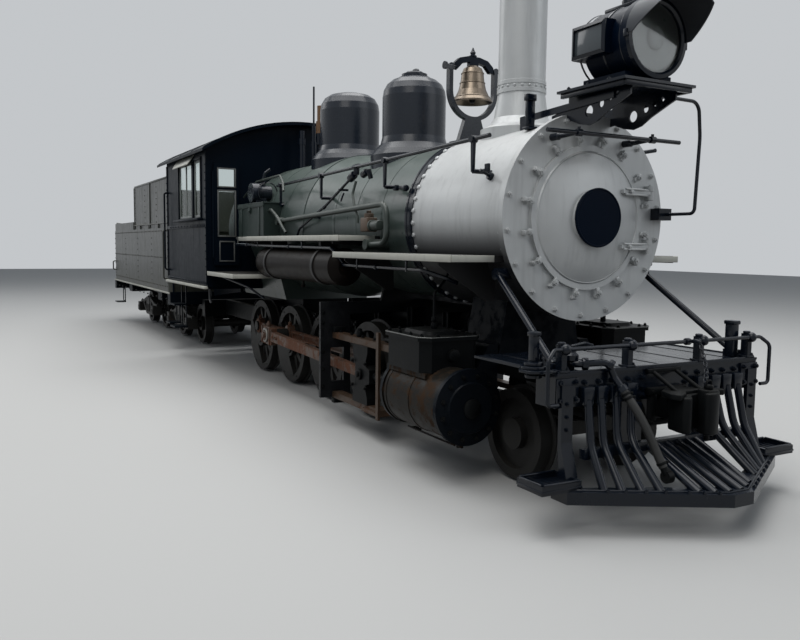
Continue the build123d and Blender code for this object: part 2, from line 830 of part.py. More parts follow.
finish(sand_dome_lid, "sand_dome_lid")


# Bell, its yoke and its forked stand
bell_x = front_x - 1540
bell_pivot_z = rail_z + 3285
bell_arm_y = 235.0
bell_pin_r = 16.0
fork_inner_r = 220.0
fork_width = 38.0
fork_drop = 205.0
with BuildPart() as bell_stand:
    with BuildSketch(cross_plane(bell_x - 28)):
        with Locations((0, bell_pivot_z - fork_drop)):
            Circle(fork_inner_r + fork_width)
            Circle(fork_inner_r, mode=Mode.SUBTRACT)
            with Locations((0, 200)):
                Rectangle(700, 400, mode=Mode.SUBTRACT)
        for side in SIDES:
            with Locations((side * (fork_inner_r + fork_width / 2), bell_pivot_z - fork_drop / 2)):
                Rectangle(fork_width, fork_drop + 2)
            with Locations((side * (fork_inner_r + fork_width / 2), bell_pivot_z)):
                Circle(fork_width / 2 + 6)
        with Locations((0, bell_pivot_z - fork_drop - fork_inner_r - 120)):
            Trapezoid(300, 220, 72)
        with Locations((0, boiler_z)):
            Circle(boiler_r + seat_gap, mode=Mode.SUBTRACT)
    extrude(amount=56)
    with BuildSketch(Plane.XY.offset(boiler_z + boiler_r - 60)):
        with Locations((bell_x, 0)):
            RectangleRounded(230, 360, 40)
    extrude(amount=84)
    add(boiler_envelope(seat_gap), mode=Mode.SUBTRACT)
    with BuildSketch(side_plane(-300)):
        with Locations((bell_x, bell_pivot_z)):
            Circle(bell_pin_r + running_fit)
    extrude(amount=-600, mode=Mode.SUBTRACT)
finish(bell_stand, "bell_stand")

# radius, height below the pivot: outside down, then inside up
bell_outline = [
    (0, 20),
    (48, 20),
    (82, -2),
    (98, -40),
    (108, -120),
    (124, -190),
    (150, -245),
    (180, -285),
    (180, -300),
    (160, -296),
    (132, -252),
    (104, -190),
    (88, -120),
    (76, -50),
    (52, -22),
    (0, -14),
]
with BuildPart() as bell:
    with BuildSketch(Plane.XZ):
        with BuildLine():
            Polyline(*[(bell_x + r, bell_pivot_z + z) for r, z in bell_outline], close=True)
        make_face()
    revolve(axis=Axis((bell_x, 0, 0), (0, 0, 1)))
    with BuildSketch(cross_plane(bell_x - 24)):
        with BuildLine():
            Polyline(
                (-208, bell_pivot_z - 24),
                (-208, bell_pivot_z + 26),
                (-150, bell_pivot_z + 78),
                (-60, bell_pivot_z + 100),
                (60, bell_pivot_z + 100),
                (150, bell_pivot_z + 78),
                (208, bell_pivot_z + 26),
                (208, bell_pivot_z - 24),
                (176, bell_pivot_z - 24),
                (120, bell_pivot_z + 34),
                (46, bell_pivot_z + 52),
                (46, bell_pivot_z + 6),
                (-46, bell_pivot_z + 6),
                (-46, bell_pivot_z + 52),
                (-120, bell_pivot_z + 34),
                (-176, bell_pivot_z - 24),
                close=True,
            )
        make_face()
    extrude(amount=48)
    for side in SIDES:
        add(side_disc(bell_x, bell_pivot_z, bell_pin_r, side, 200, 300))
    with BuildSketch(side_plane(-282)):
        with Locations((bell_x, bell_pivot_z)):
            Circle(34)
        with Locations((bell_x + 90, bell_pivot_z - 30)):
            Rectangle(190, 34, rotation=-18)
    extrude(amount=18)
finish(bell, "bell")


# Headlight on its bracket over the smokebox front
lamp_z = rail_z + 3078
lamp_r = 268.0
lamp_front_x = front_x + 618
lamp_rear_x = front_x + 150
shelf_front_x = front_x + 700
shelf_rear_x = front_x + 30
shelf_half = 322.0
shelf_z = rail_z + 2778
shelf_thickness = 18.0
visor_front_x = front_x + 930
with BuildPart() as headlight:
    with BuildSketch(Plane.XZ):
        with BuildLine():
            Polyline(
                (lamp_rear_x, lamp_z),
                (lamp_rear_x, lamp_z + 190),
                (lamp_rear_x + 70, lamp_z + lamp_r - 16),
                (lamp_front_x - 40, lamp_z + lamp_r - 16),
                (lamp_front_x - 40, lamp_z + lamp_r),
                (lamp_front_x + 14, lamp_z + lamp_r),
                (lamp_front_x + 14, lamp_z + 232),
                (lamp_front_x, lamp_z + 232),
                (lamp_front_x, lamp_z),
                close=True,
            )
        make_face()
    revolve(axis=Axis((0, 0, lamp_z), (1, 0, 0)))
    with BuildSketch(cross_plane(lamp_front_x - 2)):
        with Locations((0, lamp_z)):
            Circle(lamp_r)
            Circle(lamp_r - 8, mode=Mode.SUBTRACT)
            with Locations((0, -250)):
                Rectangle(700, 500, mode=Mode.SUBTRACT)
    extrude(amount=visor_front_x - lamp_front_x)
    with BuildSketch(side_plane(-400)):
        with BuildLine():
            Polyline(
                (lamp_front_x + 60, lamp_z - 10),
                (visor_front_x + 10, lamp_z - 10),
                (visor_front_x + 10, lamp_z + 190),
                close=True,
            )
        make_face()
    extrude(amount=-800, mode=Mode.SUBTRACT)
    for side in SIDES:
        with BuildSketch(side_plane(side * 150)):
            with Locations((front_x + 325, lamp_z + 15)):
                Rectangle(330, 220)
        extrude(amount=-side * 148)
    with BuildSketch(Plane.XY.offset(shelf_z + shelf_thickness + seat_gap)):
        with Locations((front_x + 380, 0)):
            Rectangle(400, 420)
    extrude(amount=60)
finish(headlight, "headlight")

bracket_y = 200.0
# x from the smokebox front, z above the rail, radius of the hole
scroll_holes = [(250, 2640, 40), (370, 2676, 26), (455, 2702, 20), (525, 2720, 15)]
with BuildPart() as headlight_bracket:
    with BuildSketch(Plane.XY.offset(shelf_z)):
        with Locations(((shelf_front_x + shelf_rear_x) / 2, 0)):
            Rectangle(shelf_front_x - shelf_rear_x, 2 * shelf_half)
    extrude(amount=shelf_thickness)
    for side in SIDES:
        with BuildSketch(side_plane(side * bracket_y)):
            with BuildLine():
                Polyline(
                    (shelf_rear_x + 5, shelf_z + 2),
                    (front_x + 640, shelf_z + 2),
                    (front_x + 640, rail_z + 2700),
                    (front_x + 560, rail_z + 2668),
                    (front_x + 420, rail_z + 2610),
                    (front_x + 330, rail_z + 2562),
                    (front_x + 250, rail_z + 2545),
                    (front_x + 160, rail_z + 2562),
                    (front_x + 60, rail_z + 2600),
                    (front_x - 150, rail_z + 2570),
                    (front_x - 150, rail_z + 2660),
                    (shelf_rear_x + 5, rail_z + 2690),
                    close=True,
                )
            make_face()
            for back, hole_z, hole_r in scroll_holes:
                with Locations((front_x + back, rail_z + hole_z)):
                    Circle(hole_r, mode=Mode.SUBTRACT)
        extrude(amount=-side * 14)
        with BuildSketch(side_plane(side * (bracket_y + 13))):
            with BuildLine():
                Polyline(
                    (front_x - 520, rail_z + 2700),
                    (front_x + 500, rail_z + 2740),
                    (front_x + 500, rail_z + 2695),
                    (front_x - 520, rail_z + 2650),
                    close=True,
                )
            make_face()
            with Locations((front_x - 482, rail_z + 2610)):
                Rectangle(70, 180)
        extrude(amount=-side * 14)
    add(boiler_envelope(seat_gap), mode=Mode.SUBTRACT)
    with BuildSketch(cross_plane(front_x - 60)):
        with Locations((0, boiler_z)):
            Circle(front_ring_r + seat_gap)
    extrude(amount=60 + front_plate_thickness + seat_gap, mode=Mode.SUBTRACT)
finish(headlight_bracket, "headlight_bracket")


# Conduit from the lamp shelf to the switch box on the smokebox front
conduit_r = 13.0
conduit_y = 735.0
conduit_x = front_x + 375
box_z = boiler_z + 46
with BuildPart() as lamp_conduit:
    with BuildLine():
        FilletPolyline(
            (front_x + 440, shelf_half - 40, shelf_z - conduit_r - 4),
            (front_x + 420, conduit_y - 60, shelf_z - conduit_r - 4),
            (conduit_x, conduit_y + 20, box_z + 560),
            (conduit_x, conduit_y - 5, box_z),
            (front_x + 60, conduit_y - 5, box_z),
            radius=(110, 200, 40),
        )
    conduit_start = Plane(
        origin=(front_x + 440, shelf_half - 40, shelf_z - conduit_r - 4),
        z_dir=(-20, conduit_y - 60 - shelf_half + 40, 0),
    )
    with BuildSketch(conduit_start):
        Circle(conduit_r)
    sweep()
    with BuildSketch(cross_plane(front_x + front_plate_thickness + seat_gap)):
        with Locations((conduit_y - 20, box_z)):
            Rectangle(130, 90)
    extrude(amount=90)
finish(lamp_conduit, "lamp_conduit")


# Handrails along the boiler, their posts, and the bar across the smokebox front
rail_bar_r = 16.0
handrail_y = 800.0
handrail_front_x = front_x - 100
handrail_front_z = rail_z + 2474
handrail_slope = 0.021
handrail_rear_x = front_x - 4440
front_bar_z = rail_z + 2478
front_bar_x = front_x + 305
front_bar_r = 15.0
front_bar_half = 620.0
front_arm_y = 345.0
post_places = [front_x - 305, front_x - 1690, front_x - 3120, front_x - 4330]


def handrail_z(x):
    """Height of the handrail's middle at x."""
    return handrail_front_z - handrail_slope * (handrail_front_x - x)


def front_arm(y):
    """A tapered arm from the front plate out to the front bar at y."""
    foot_x = front_x + front_plate_thickness + seat_gap
    with BuildPart() as arm:
        with BuildSketch(side_plane(y)):
            with BuildLine():
                Polyline(
                    (foot_x, front_bar_z),
                    (foot_x, front_bar_z + 26),
                    (foot_x + 75, front_bar_z + 26),
                    (foot_x + 90, front_bar_z + 20),
                    (front_bar_x - 10, front_bar_z + 12),
                    (front_bar_x - 10, front_bar_z),
                    close=True,
                )
            make_face()
        revolve(axis=Axis((0, y, front_bar_z), (1, 0, 0)))
    return arm.part


with BuildPart() as handrails:
    for side in SIDES:
        rail_start = (handrail_front_x, side * handrail_y, handrail_z(handrail_front_x))
        rail_end = (handrail_rear_x, side * handrail_y, handrail_z(handrail_rear_x))
        with BuildLine() as rail_line:
            Line(rail_start, rail_end)
        with BuildSketch(Plane(origin=rail_start, z_dir=rail_line.line % 0)):
            Circle(rail_bar_r)
        sweep()
        for post_x in post_places:
            top_z = handrail_z(post_x)
            with BuildSketch(side_plane(side * (handrail_y + 12))):
                with BuildLine():
                    Polyline(
                        (post_x - 18, top_z - 4),
                        (post_x + 18, top_z - 4),
                        (post_x + 9, top_z - 235),
                        (post_x - 9, top_z - 235),
                        close=True,
                    )
                make_face()
            extrude(amount=side * 24)
            with BuildSketch(side_plane(side * handrail_y)):
                with Locations((post_x, top_z - 230)):
                    Circle(17)
            extrude(amount=side * 200)
        for post_x in post_places:
            with BuildSketch(side_plane(side * (handrail_y + 26))):
                with Locations((post_x, handrail_z(post_x))):
                    Circle(27)
            extrude(amount=side * 52)
    add(boiler_envelope(seat_gap), mode=Mode.SUBTRACT)
    with BuildSketch(side_plane(-front_bar_half)):
        with Locations((front_bar_x, front_bar_z)):
            Circle(front_bar_r)
    extrude(amount=-2 * front_bar_half)
    for arm_y in (-front_arm_y, front_arm_y):
        with BuildSketch(side_plane(arm_y - 22)):
            with Locations((front_bar_x, front_bar_z)):
                Circle(front_bar_r + 10)
        extrude(amount=-44)
        with BuildSketch(Plane.XY.offset(front_bar_z + 5)):
            with Locations((front_bar_x, arm_y)):
                Circle(11)
        extrude(amount=front_bar_r + 21)
    for arm_y in (-front_arm_y, front_arm_y):
        add(front_arm(arm_y))
finish(handrails, "handrails")


# Running boards: x of the rear and front ends, z of the top, outer y, bracket depth, sides
board_thickness = 45.0
board_table = [
    (front_x - 2130, front_x - 100, rail_z + 1632, 1100, 300, SIDES),
    (front_x - 4680, front_x - 2000, rail_z + 1783, 1100, 50, (RIGHT,)),
    (front_x - 4680, front_x - 3250, rail_z + 1783, 1100, 50, (LEFT,)),
    (front_x - 5330, front_x - 4678, rail_z + 1783, 1000, 50, SIDES),
]
step_board_z = rail_z + 1340
rear_board_under_z = board_table[1][2] - board_thickness
reservoir_r = 175.0
reservoir_y = 925.0
reservoir_z = rail_z + 1490
reservoir_rear_x = front_x - 4400
reservoir_front_x = front_x - 2190
strap_places = (reservoir_rear_x + 330, reservoir_front_x - 480)
with BuildPart() as running_boards:
    for board_rear, board_front, board_z, board_y, bracket_depth, board_sides in board_table:
        for side in board_sides:
            under_z = board_z - board_thickness
            with BuildSketch(Plane.XY.offset(under_z)):
                with Locations(((board_rear + board_front) / 2, side * (board_y / 2 + 250))):
                    Rectangle(board_front - board_rear, board_y - 500)
            extrude(amount=board_thickness)
            for bracket_x in (board_rear + 160, board_front - 250):
                with BuildSketch(cross_plane(bracket_x)):
                    with BuildLine():
                        Polyline(
                            (side * 560, under_z + 1),
                            (side * (board_y - 40), under_z + 1),
                            (side * (board_y - 40), under_z - 30),
                            (side * 640, under_z - bracket_depth),
                            (side * 560, under_z - bracket_depth),
                            close=True,
                        )
                    make_face()
                extrude(amount=16)
    for side in SIDES:
        with BuildSketch(Plane.XY.offset(step_board_z - board_thickness)):
            with Locations((cab_front_x + seat_gap + 570, side * 1000)):
                Rectangle(1140, 680)
        extrude(amount=board_thickness)
    with BuildSketch(cross_plane(backhead_x)):
        add(firebox_outline(seat_gap))
    extrude(amount=firebox_front_x - backhead_x, mode=Mode.SUBTRACT)
    add(boiler_envelope(seat_gap), mode=Mode.SUBTRACT)
    for strap_x in strap_places:
        with BuildSketch(cross_plane(strap_x)):
            with Locations((-reservoir_y, reservoir_z)):
                Circle(reservoir_r + 12)
            with Locations((-reservoir_y, (reservoir_z + rear_board_under_z) / 2)):
                Rectangle(180, rear_board_under_z - reservoir_z + 2)
            with Locations((-reservoir_y, reservoir_z)):
                Circle(reservoir_r + seat_gap, mode=Mode.SUBTRACT)
        extrude(amount=50)
finish(running_boards, "running_boards")


# Air reservoir under the right running board, held in its two straps
with BuildPart() as air_reservoir:
    with BuildSketch(side_plane(-reservoir_y)):
        with BuildLine():
            Polyline(
                (reservoir_rear_x, reservoir_z),
                (reservoir_rear_x, reservoir_z + 90),
                (reservoir_rear_x + 60, reservoir_z + reservoir_r),
                (reservoir_front_x - 60, reservoir_z + reservoir_r),
                (reservoir_front_x, reservoir_z + 90),
                (reservoir_front_x, reservoir_z),
                close=True,
            )
        make_face()
    revolve(axis=Axis((0, -reservoir_y, reservoir_z), (1, 0, 0)))
finish(air_reservoir, "air_reservoir")



# Air pump on the left of the boiler: steam cylinder above, air cylinder below
pump_x = front_x - 2950
pump_y = 985.0
pump_low_z = rail_z + 1290
# radius, height above the pump's foot
pump_turns = [
    (0, 0),
    (150, 0),
    (196, 30),
    (196, 70),
    (176, 80),
    (176, 400),
    (196, 410),
    (196, 450),
    (80, 470),
    (80, 640),
    (176, 660),
    (176, 700),
    (160, 710),
    (160, 960),
    (176, 970),
    (176, 1010),
    (120, 1040),
    (60, 1070),
    (0, 1070),
]
with BuildPart() as air_pump:
    with BuildSketch(side_plane(pump_y)):
        with BuildLine():
            Polyline(*[(pump_x + r, pump_low_z + z) for r, z in pump_turns], close=True)
        make_face()
    revolve(axis=Axis((pump_x, pump_y, 0), (0, 0, 1)))
    for lug_height in (110, 740):
        with BuildSketch(Plane.XY.offset(pump_low_z + lug_height)):
            with Locations((pump_x, pump_y - 220)):
                Rectangle(220, 400)
        extrude(amount=130)
    add(boiler_envelope(seat_gap), mode=Mode.SUBTRACT)
finish(air_pump, "air_pump")


# Generator and tool box ahead of the cab on the right
tool_box_low_z = board_table[3][2] + seat_gap
tool_box_top_z = rail_z + 2182
with BuildPart() as tool_box:
    with BuildSketch(Plane.XY.offset(tool_box_low_z)):
        with Locations(((board_table[3][0] + front_x - 4370) / 2, -845)):
            Rectangle(front_x - 4370 - board_table[3][0], 310)
    extrude(amount=tool_box_top_z - tool_box_low_z)
    with BuildSketch(cross_plane(backhead_x)):
        add(firebox_outline(seat_gap))
    extrude(amount=firebox_front_x - backhead_x, mode=Mode.SUBTRACT)
    add(boiler_envelope(seat_gap), mode=Mode.SUBTRACT)
finish(tool_box, "tool_box")

generator_x = front_x - 4930
generator_y = 800.0
generator_z = rail_z + 2325
with BuildPart() as generator:
    with BuildSketch(side_plane(-generator_y - 170)):
        with Locations((generator_x, generator_z)):
            Circle(118)
    extrude(amount=-90)
    with BuildSketch(side_plane(-generator_y - 82)):
        with Locations((generator_x, generator_z)):
            Circle(90)
    extrude(amount=-160)
    with BuildSketch(Plane.XY.offset(tool_box_top_z + seat_gap)):
        with Locations((generator_x, -generator_y - 60)):
            Rectangle(150, 130)
    extrude(amount=80)
    add(boiler_envelope(seat_gap), mode=Mode.SUBTRACT)
finish(generator, "generator")


# Whistle and two safety valves on the firebox crown
with BuildPart() as whistle_and_valves:
    # x, y, then radius and height of the foot, body and top
    for place_x, place_y, foot_r, body_r, body_z, top_r, top_z in (
        (front_x - 5200, 60, 30, 55, 3300, 40, 3500),
        (front_x - 4980, -120, 34, 26, 3200, 12, 3690),
        (front_x - 5330, -140, 44, 50, 3080, 36, 3180),
    ):
        with BuildSketch(Plane.XY.offset(boiler_z + boiler_big_r - 60)):
            with Locations((place_x, place_y)):
                Circle(foot_r)
        extrude(amount=rail_z + 3000 - boiler_z - boiler_big_r + 62)
        with BuildSketch(Plane.XY.offset(rail_z + 3000)):
            with Locations((place_x, place_y)):
                Circle(body_r)
        extrude(amount=body_z - 3000)
        with BuildSketch(Plane.XY.offset(rail_z + body_z)):
            with Locations((place_x, place_y)):
                Circle(top_r)
        extrude(amount=top_z - body_z)
    add(boiler_envelope(seat_gap), mode=Mode.SUBTRACT)
finish(whistle_and_valves, "whistle_and_valves")


# Delivery pipes that loop forward from the cab to the check valve on each side
pipe_r = 26.0
pipe_y = 850.0
pipe_rear_x = {RIGHT: front_x - 4250, LEFT: front_x - 2620}
check_valve_x = front_x - 1900
with BuildPart() as delivery_pipes:
    for side in SIDES:
        with BuildLine() as pipe_line:
            FilletPolyline(
                (pipe_rear_x[side], side * pipe_y, rail_z + 2062 + 0.036 * (pipe_rear_x[side] - front_x + 1560)),
                (front_x - 1560, side * pipe_y, rail_z + 2060),
                (front_x - 1545, side * pipe_y, rail_z + 1715),
                (check_valve_x, side * pipe_y, rail_z + 1700),
                radius=(110, 110),
            )
        with BuildSketch(Plane(origin=pipe_line.line @ 0, z_dir=pipe_line.line % 0)):
            Circle(pipe_r)
        sweep()
        with BuildSketch(side_plane(side * (pipe_y + 40))):
            with Locations((check_valve_x, rail_z + 1705)):
                Circle(48)
            with Locations((pipe_rear_x[side], rail_z + 2062 + 0.036 * (pipe_rear_x[side] - front_x + 1560))):
                Circle(44)
        extrude(amount=side * 400)
    add(boiler_envelope(seat_gap), mode=Mode.SUBTRACT)
finish(delivery_pipes, "delivery_pipes")


# Buffer beam with the front deck
beam_rear_x = beam_front_x - 190 + seat_gap
beam_half = 918.0
beam_top_z = rail_z + 914
beam_low_z = rail_z + 712
deck_thickness = 16.0
with BuildPart() as buffer_beam:
    with BuildSketch(Plane.XY.offset(beam_low_z)):
        with Locations(((beam_front_x + beam_rear_x) / 2, 0)):
            Rectangle(beam_front_x - beam_rear_x, 2 * beam_half)
    extrude(amount=beam_top_z - beam_low_z)
    with BuildSketch(Plane.XY.offset(beam_top_z - 2)):
        with Locations(((beam_front_x + front_x - 80) / 2 + 10, 0)):
            Rectangle(beam_front_x - front_x + 80, 2 * beam_half - 10)
    extrude(amount=deck_thickness)
    for side in SIDES:
        with BuildSketch(side_plane(side * frame_y)):
            with Locations(((front_x - 60 + beam_rear_x) / 2, (frame_top_z + beam_top_z) / 2 + seat_gap / 2)):
                Rectangle(beam_rear_x - front_x + 62, beam_top_z - frame_top_z - seat_gap)
        extrude(amount=-side * 30)
finish(buffer_beam, "buffer_beam")

with BuildPart() as smokebox_braces:
    for side in SIDES:
        brace_start = (front_x + 690, side * 830, beam_top_z + deck_thickness + 34)
        brace_end = (front_x - 90, side * 712, rail_z + 1500)
        with BuildLine() as brace_line:
            Line(brace_start, brace_end)
        with BuildSketch(Plane(origin=brace_start, z_dir=brace_line.line % 0)):
            Circle(24)
        sweep()
        with BuildSketch(Plane.XY.offset(beam_top_z + deck_thickness - 2 + seat_gap)):
            with Locations((front_x + 690, side * 830)):
                Rectangle(100, 80)
        extrude(amount=46)
        with BuildSketch(side_plane(side * 736)):
            with Locations((front_x - 92, rail_z + 1502)):
                Circle(42)
        extrude(amount=side * 170)
    add(boiler_envelope(seat_gap), mode=Mode.SUBTRACT)
finish(smokebox_braces, "smokebox_braces")


# Pilot: a low V-shaped foot, bars fanned up to the beam, and a step tray at each end
pilot_low_z = rail_z + 165
pilot_foot_height = 78.0
pilot_corner = (front_x + 1000, 950.0)
pilot_tip = (front_x + 1490, 85.0)
pilot_band = 120.0
pilot_foot_z = pilot_low_z + pilot_foot_height
bar_r = 26.0


def pilot_edge_x(y):
    """x of the middle of the pilot's foot at the distance y from the middle line."""
    share = (abs(y) - pilot_tip[1]) / (pilot_corner[1] - pilot_tip[1])
    return pilot_tip[0] + (pilot_corner[0] - pilot_tip[0]) * max(share, 0) - pilot_band * 0.55


# y at the beam, y at the foot, height of the upper end
side_bars = [(685, 720, 40), (578, 625, 40), (451, 520, 40), (320, 420, 40)]
middle_bars = [(215, 225), (130, 140), (45, 50)]
middle_bar_z = rail_z + 430
middle_bar_x = front_x + 905
with BuildPart() as pilot:
    with BuildSketch(Plane.XY.offset(pilot_low_z)):
        with BuildLine():
            Polyline(
                (pilot_corner[0] - 150, -pilot_corner[1]),
                (pilot_corner[0], -pilot_corner[1]),
                (pilot_tip[0], -pilot_tip[1]),
                (pilot_tip[0], pilot_tip[1]),
                (pilot_corner[0], pilot_corner[1]),
                (pilot_corner[0] - 150, pilot_corner[1]),
                (pilot_corner[0] - 150, pilot_corner[1] - 110),
                (pilot_corner[0] - 50, pilot_corner[1] - 110),
                (pilot_tip[0] - pilot_band - 20, 0),
                (pilot_corner[0] - 50, 110 - pilot_corner[1]),
                (pilot_corner[0] - 150, 110 - pilot_corner[1]),
                close=True,
            )
        make_face()
    extrude(amount=pilot_foot_height)
    for side in SIDES:
        for top_y, foot_y, drop in side_bars:
            bar_top = (beam_front_x + 34, side * top_y, beam_low_z + drop)
            bar_knee = (beam_front_x + 90, side * (top_y + foot_y) / 2, rail_z + 480)
            bar_foot = (pilot_edge_x(foot_y), side * foot_y, pilot_foot_z - 10)
            with BuildLine() as bar_line:
                FilletPolyline(bar_top, bar_knee, bar_foot, radius=260)
            with BuildSketch(Plane(origin=bar_top, z_dir=bar_line.line % 0)):
                Circle(bar_r)
            sweep()
            with BuildSketch(cross_plane(beam_front_x + seat_gap)):
                with Locations((side * top_y, beam_low_z + drop + 20)):
                    Rectangle(70, 90)
            extrude(amount=40)
        for top_y, foot_y in middle_bars:
            bar_top = (middle_bar_x, side * top_y, middle_bar_z)
            bar_foot = (pilot_edge_x(foot_y), side * foot_y, pilot_foot_z - 10)
            with BuildLine() as bar_line:
                Line(bar_top, bar_foot)
            with BuildSketch(Plane(origin=bar_top, z_dir=bar_line.line % 0)):
                Circle(bar_r)
            sweep()
        with BuildSketch(Plane.XY.offset(pilot_foot_z - 2)):
            with Locations((pilot_corner[0] - 120, side * 990)):
                Rectangle(240, 300)
        extrude(amount=60)
        with BuildSketch(Plane.XY.offset(pilot_foot_z + 14)):
            with Locations((pilot_corner[0] - 120, side * 990)):
                Rectangle(216, 276)
        extrude(amount=60, mode=Mode.SUBTRACT)
        with BuildSketch(side_plane(side * 800)):
            with BuildLine():
                Polyline(
                    (beam_front_x + seat_gap, beam_top_z - 60),
                    (beam_front_x + 30, beam_top_z - 60),
                    (beam_front_x + 30, rail_z + 500),
                    (pilot_corner[0] - 70, pilot_foot_z - 5),
                    (pilot_corner[0] - 150, pilot_foot_z - 5),
                    (beam_front_x + seat_gap, rail_z + 500),
                    close=True,
                )
            make_face()
        extrude(amount=-side * 90)
    with BuildSketch(side_plane(-760)):
        with Locations((middle_bar_x, middle_bar_z)):
            Rectangle(52, 60)
    extrude(amount=-1520)
    for side in SIDES:
        with BuildSketch(cross_plane(beam_front_x - 40)):
            with Locations((side * 300, (middle_bar_z + beam_low_z) / 2)):
                Rectangle(60, beam_low_z - middle_bar_z - 2 * seat_gap)
        extrude(amount=120)
finish(pilot, "pilot")


# Couplers at both ends: shank, head and knuckle
def coupler(face_x, direction):
    """A knuckle coupler whose shank starts at face_x and points along direction."""
    with BuildPart() as head:
        with BuildSketch(cross_plane(face_x)):
            with Locations((0, coupler_z)):
                Rectangle(150, 150)
        extrude(amount=direction * 190)
        with BuildSketch(Plane.XY.offset(coupler_z - 120)):
            with BuildLine():
                Polyline(
                    (face_x + direction * 120, -95),
                    (face_x + direction * 180, -150),
                    (face_x + direction * 330, -175),
                    (face_x + direction * 355, -110),
                    (face_x + direction * 270, -40),
                    (face_x + direction * 265, 60),
                    (face_x + direction * 180, 130),
                    (face_x + direction * 120, 95),
                    close=True,
                )
            make_face()
        extrude(amount=240)
        with BuildSketch(Plane.XY.offset(coupler_z - 150)):
            with Locations((face_x + direction * 285, 95)):
                Circle(70)
            with BuildLine():
                Polyline(
                    (face_x + direction * 285, 165),
                    (face_x + direction * 370, 120),
                    (face_x + direction * 385, 10),
                    (face_x + direction * 335, -15),
                    (face_x + direction * 250, 60),
                    close=True,
                )
            make_face()
        extrude(amount=300)
    return head


finish(coupler(beam_front_x + seat_gap, 1), "front_coupler")


# Uncoupling lever on posts over the deck, with a handle at each end
lever_z = rail_z + 1075
lever_x = beam_front_x + 6
with BuildPart() as uncoupling_lever:
    with BuildLine() as lever_line:
        FilletPolyline(
            (lever_x + 30, -925, rail_z + 740),
            (lever_x + 30, -1010, rail_z + 740),
            (lever_x + 30, -1010, rail_z + 1020),
            (lever_x, -940, lever_z),
            (lever_x, 940, lever_z),
            (lever_x + 30, 1010, rail_z + 1020),
            (lever_x + 30, 1010, rail_z + 740),
            (lever_x + 30, 925, rail_z + 740),
            radius=(30, 60, 40, 40, 60, 30),
        )
    with BuildSketch(Plane(origin=lever_line.line @ 0, z_dir=lever_line.line % 0)):
        Circle(13)
    sweep()
    deck_top_z = beam_top_z + deck_thickness - 2 + seat_gap
    for post_y in (-850, -300, 360, 850):
        with BuildSketch(Plane.XY.offset(deck_top_z)):
            with Locations((beam_front_x - 36, post_y)):
                Rectangle(60, 40)
        extrude(amount=lever_z + 24 - deck_top_z)
        with BuildSketch(Plane.XY.offset(lever_z - 24)):
            with Locations((beam_front_x - 10, post_y)):
                Rectangle(70, 36)
        extrude(amount=48)
finish(uncoupling_lever, "uncoupling_lever")


# Train pipe over the deck, the free hose on it and the hose's coupling
hose_r = 27.5
# x from the smokebox front, y, z above the rail: the hose from its nipple to its coupling
hose_route = [
    (930, -455, 800),
    (966, -440, 752),
    (1002, -415, 690),
    (1040, -385, 610),
    (1070, -352, 520),
    (1096, -325, 430),
    (1132, -303, 348),
]
hose_points = [Vector(front_x + x, y, rail_z + z) for x, y, z in hose_route]
hose_radii = []
for before, here, after in zip(hose_points, hose_points[1:], hose_points[2:]):
    turn_deg = (here - before).get_angle(after - here)
    shorter = min((here - before).length, (after - here).length)
    hose_radii.append(0.45 * shorter / math.tan(math.radians(turn_deg / 2)))
print("hose radii", [round(r) for r in hose_radii])
with BuildPart() as brake_hose:
    with BuildLine() as hose_line:
        FilletPolyline(*hose_points, radius=hose_radii)
    with BuildSketch(Plane(origin=hose_line.line @ 0, z_dir=hose_line.line % 0)):
        Circle(hose_r)
    sweep()
finish(brake_hose, "brake_hose")
hose_length = sum(edge.length for edge in hose_line.edges())
print("hose length", round(hose_length))

hose_end = hose_line.line @ 1
hose_end_way = hose_line.line % 1
with BuildPart() as hose_coupling:
    with BuildSketch(Plane(origin=hose_end, z_dir=hose_end_way)):
        Circle(24)
    extrude(amount=46)
    coupling_middle = hose_end + hose_end_way * 62
    with BuildSketch(Plane(origin=coupling_middle - Vector(0, 22, 0), x_dir=(1, 0, 0), z_dir=(0, 1, 0))):
        Circle(40)
    extrude(amount=44)
finish(hose_coupling, "hose_coupling")

hose_start = hose_line.line @ 0
hose_start_way = hose_line.line % 0
pipe_z = beam_top_z + deck_thickness - 2 + 40
with BuildPart() as train_pipe:
    with BuildLine() as train_line:
        FilletPolyline(
            hose_start,
            hose_start - hose_start_way * 110,
            (front_x + 868, -540, pipe_z + 16),
            (front_x + 770, -720, pipe_z),
            (front_x + 420, -738, pipe_z),
            radius=(50, 60, 60),
        )
    with BuildSketch(Plane(origin=hose_start, z_dir=train_line.line % 0)):
        Circle(22)
    sweep()
    with BuildSketch(Plane(origin=hose_start, z_dir=-hose_start_way)):
        Circle(36)
    extrude(amount=30)
    for clamp_place in ((front_x + 700, -724), (front_x + 440, -736)):
        with BuildSketch(Plane.XY.offset(beam_top_z + deck_thickness - 2 + seat_gap)):
            with Locations(clamp_place):
                Rectangle(70, 60)
        extrude(amount=66)
finish(train_pipe, "train_pipe")


# Cab: walls with doors and windows cut, floor, arched roof, doors and fittings
cab_half = 1343.0
cab_wall = 30.0
cab_sill_z = rail_z + 1140
eave_z = rail_z + 2890
roof_peak_z = rail_z + 3310
roof_thickness = 34.0
roof_half = 1425.0
roof_front_x = cab_front_x + 130
roof_rear_x = cab_rear_x - 300
cab_floor_z = rail_z + 1170
cab_door_inner_y = 925.0
cab_door_outer_y = 1255.0
cab_door_low_z = rail_z + 1420
cab_door_high_z = rail_z + 2720
cab_door_thickness = 34.0
# x of the window's rear and front edges, z of its lower and upper edges
side_windows = [
    (front_x - 6220, front_x - 5860, rail_z + 2040, rail_z + 2790),
    (front_x - 7060, front_x - 6300, rail_z + 2040, rail_z + 2790),
]


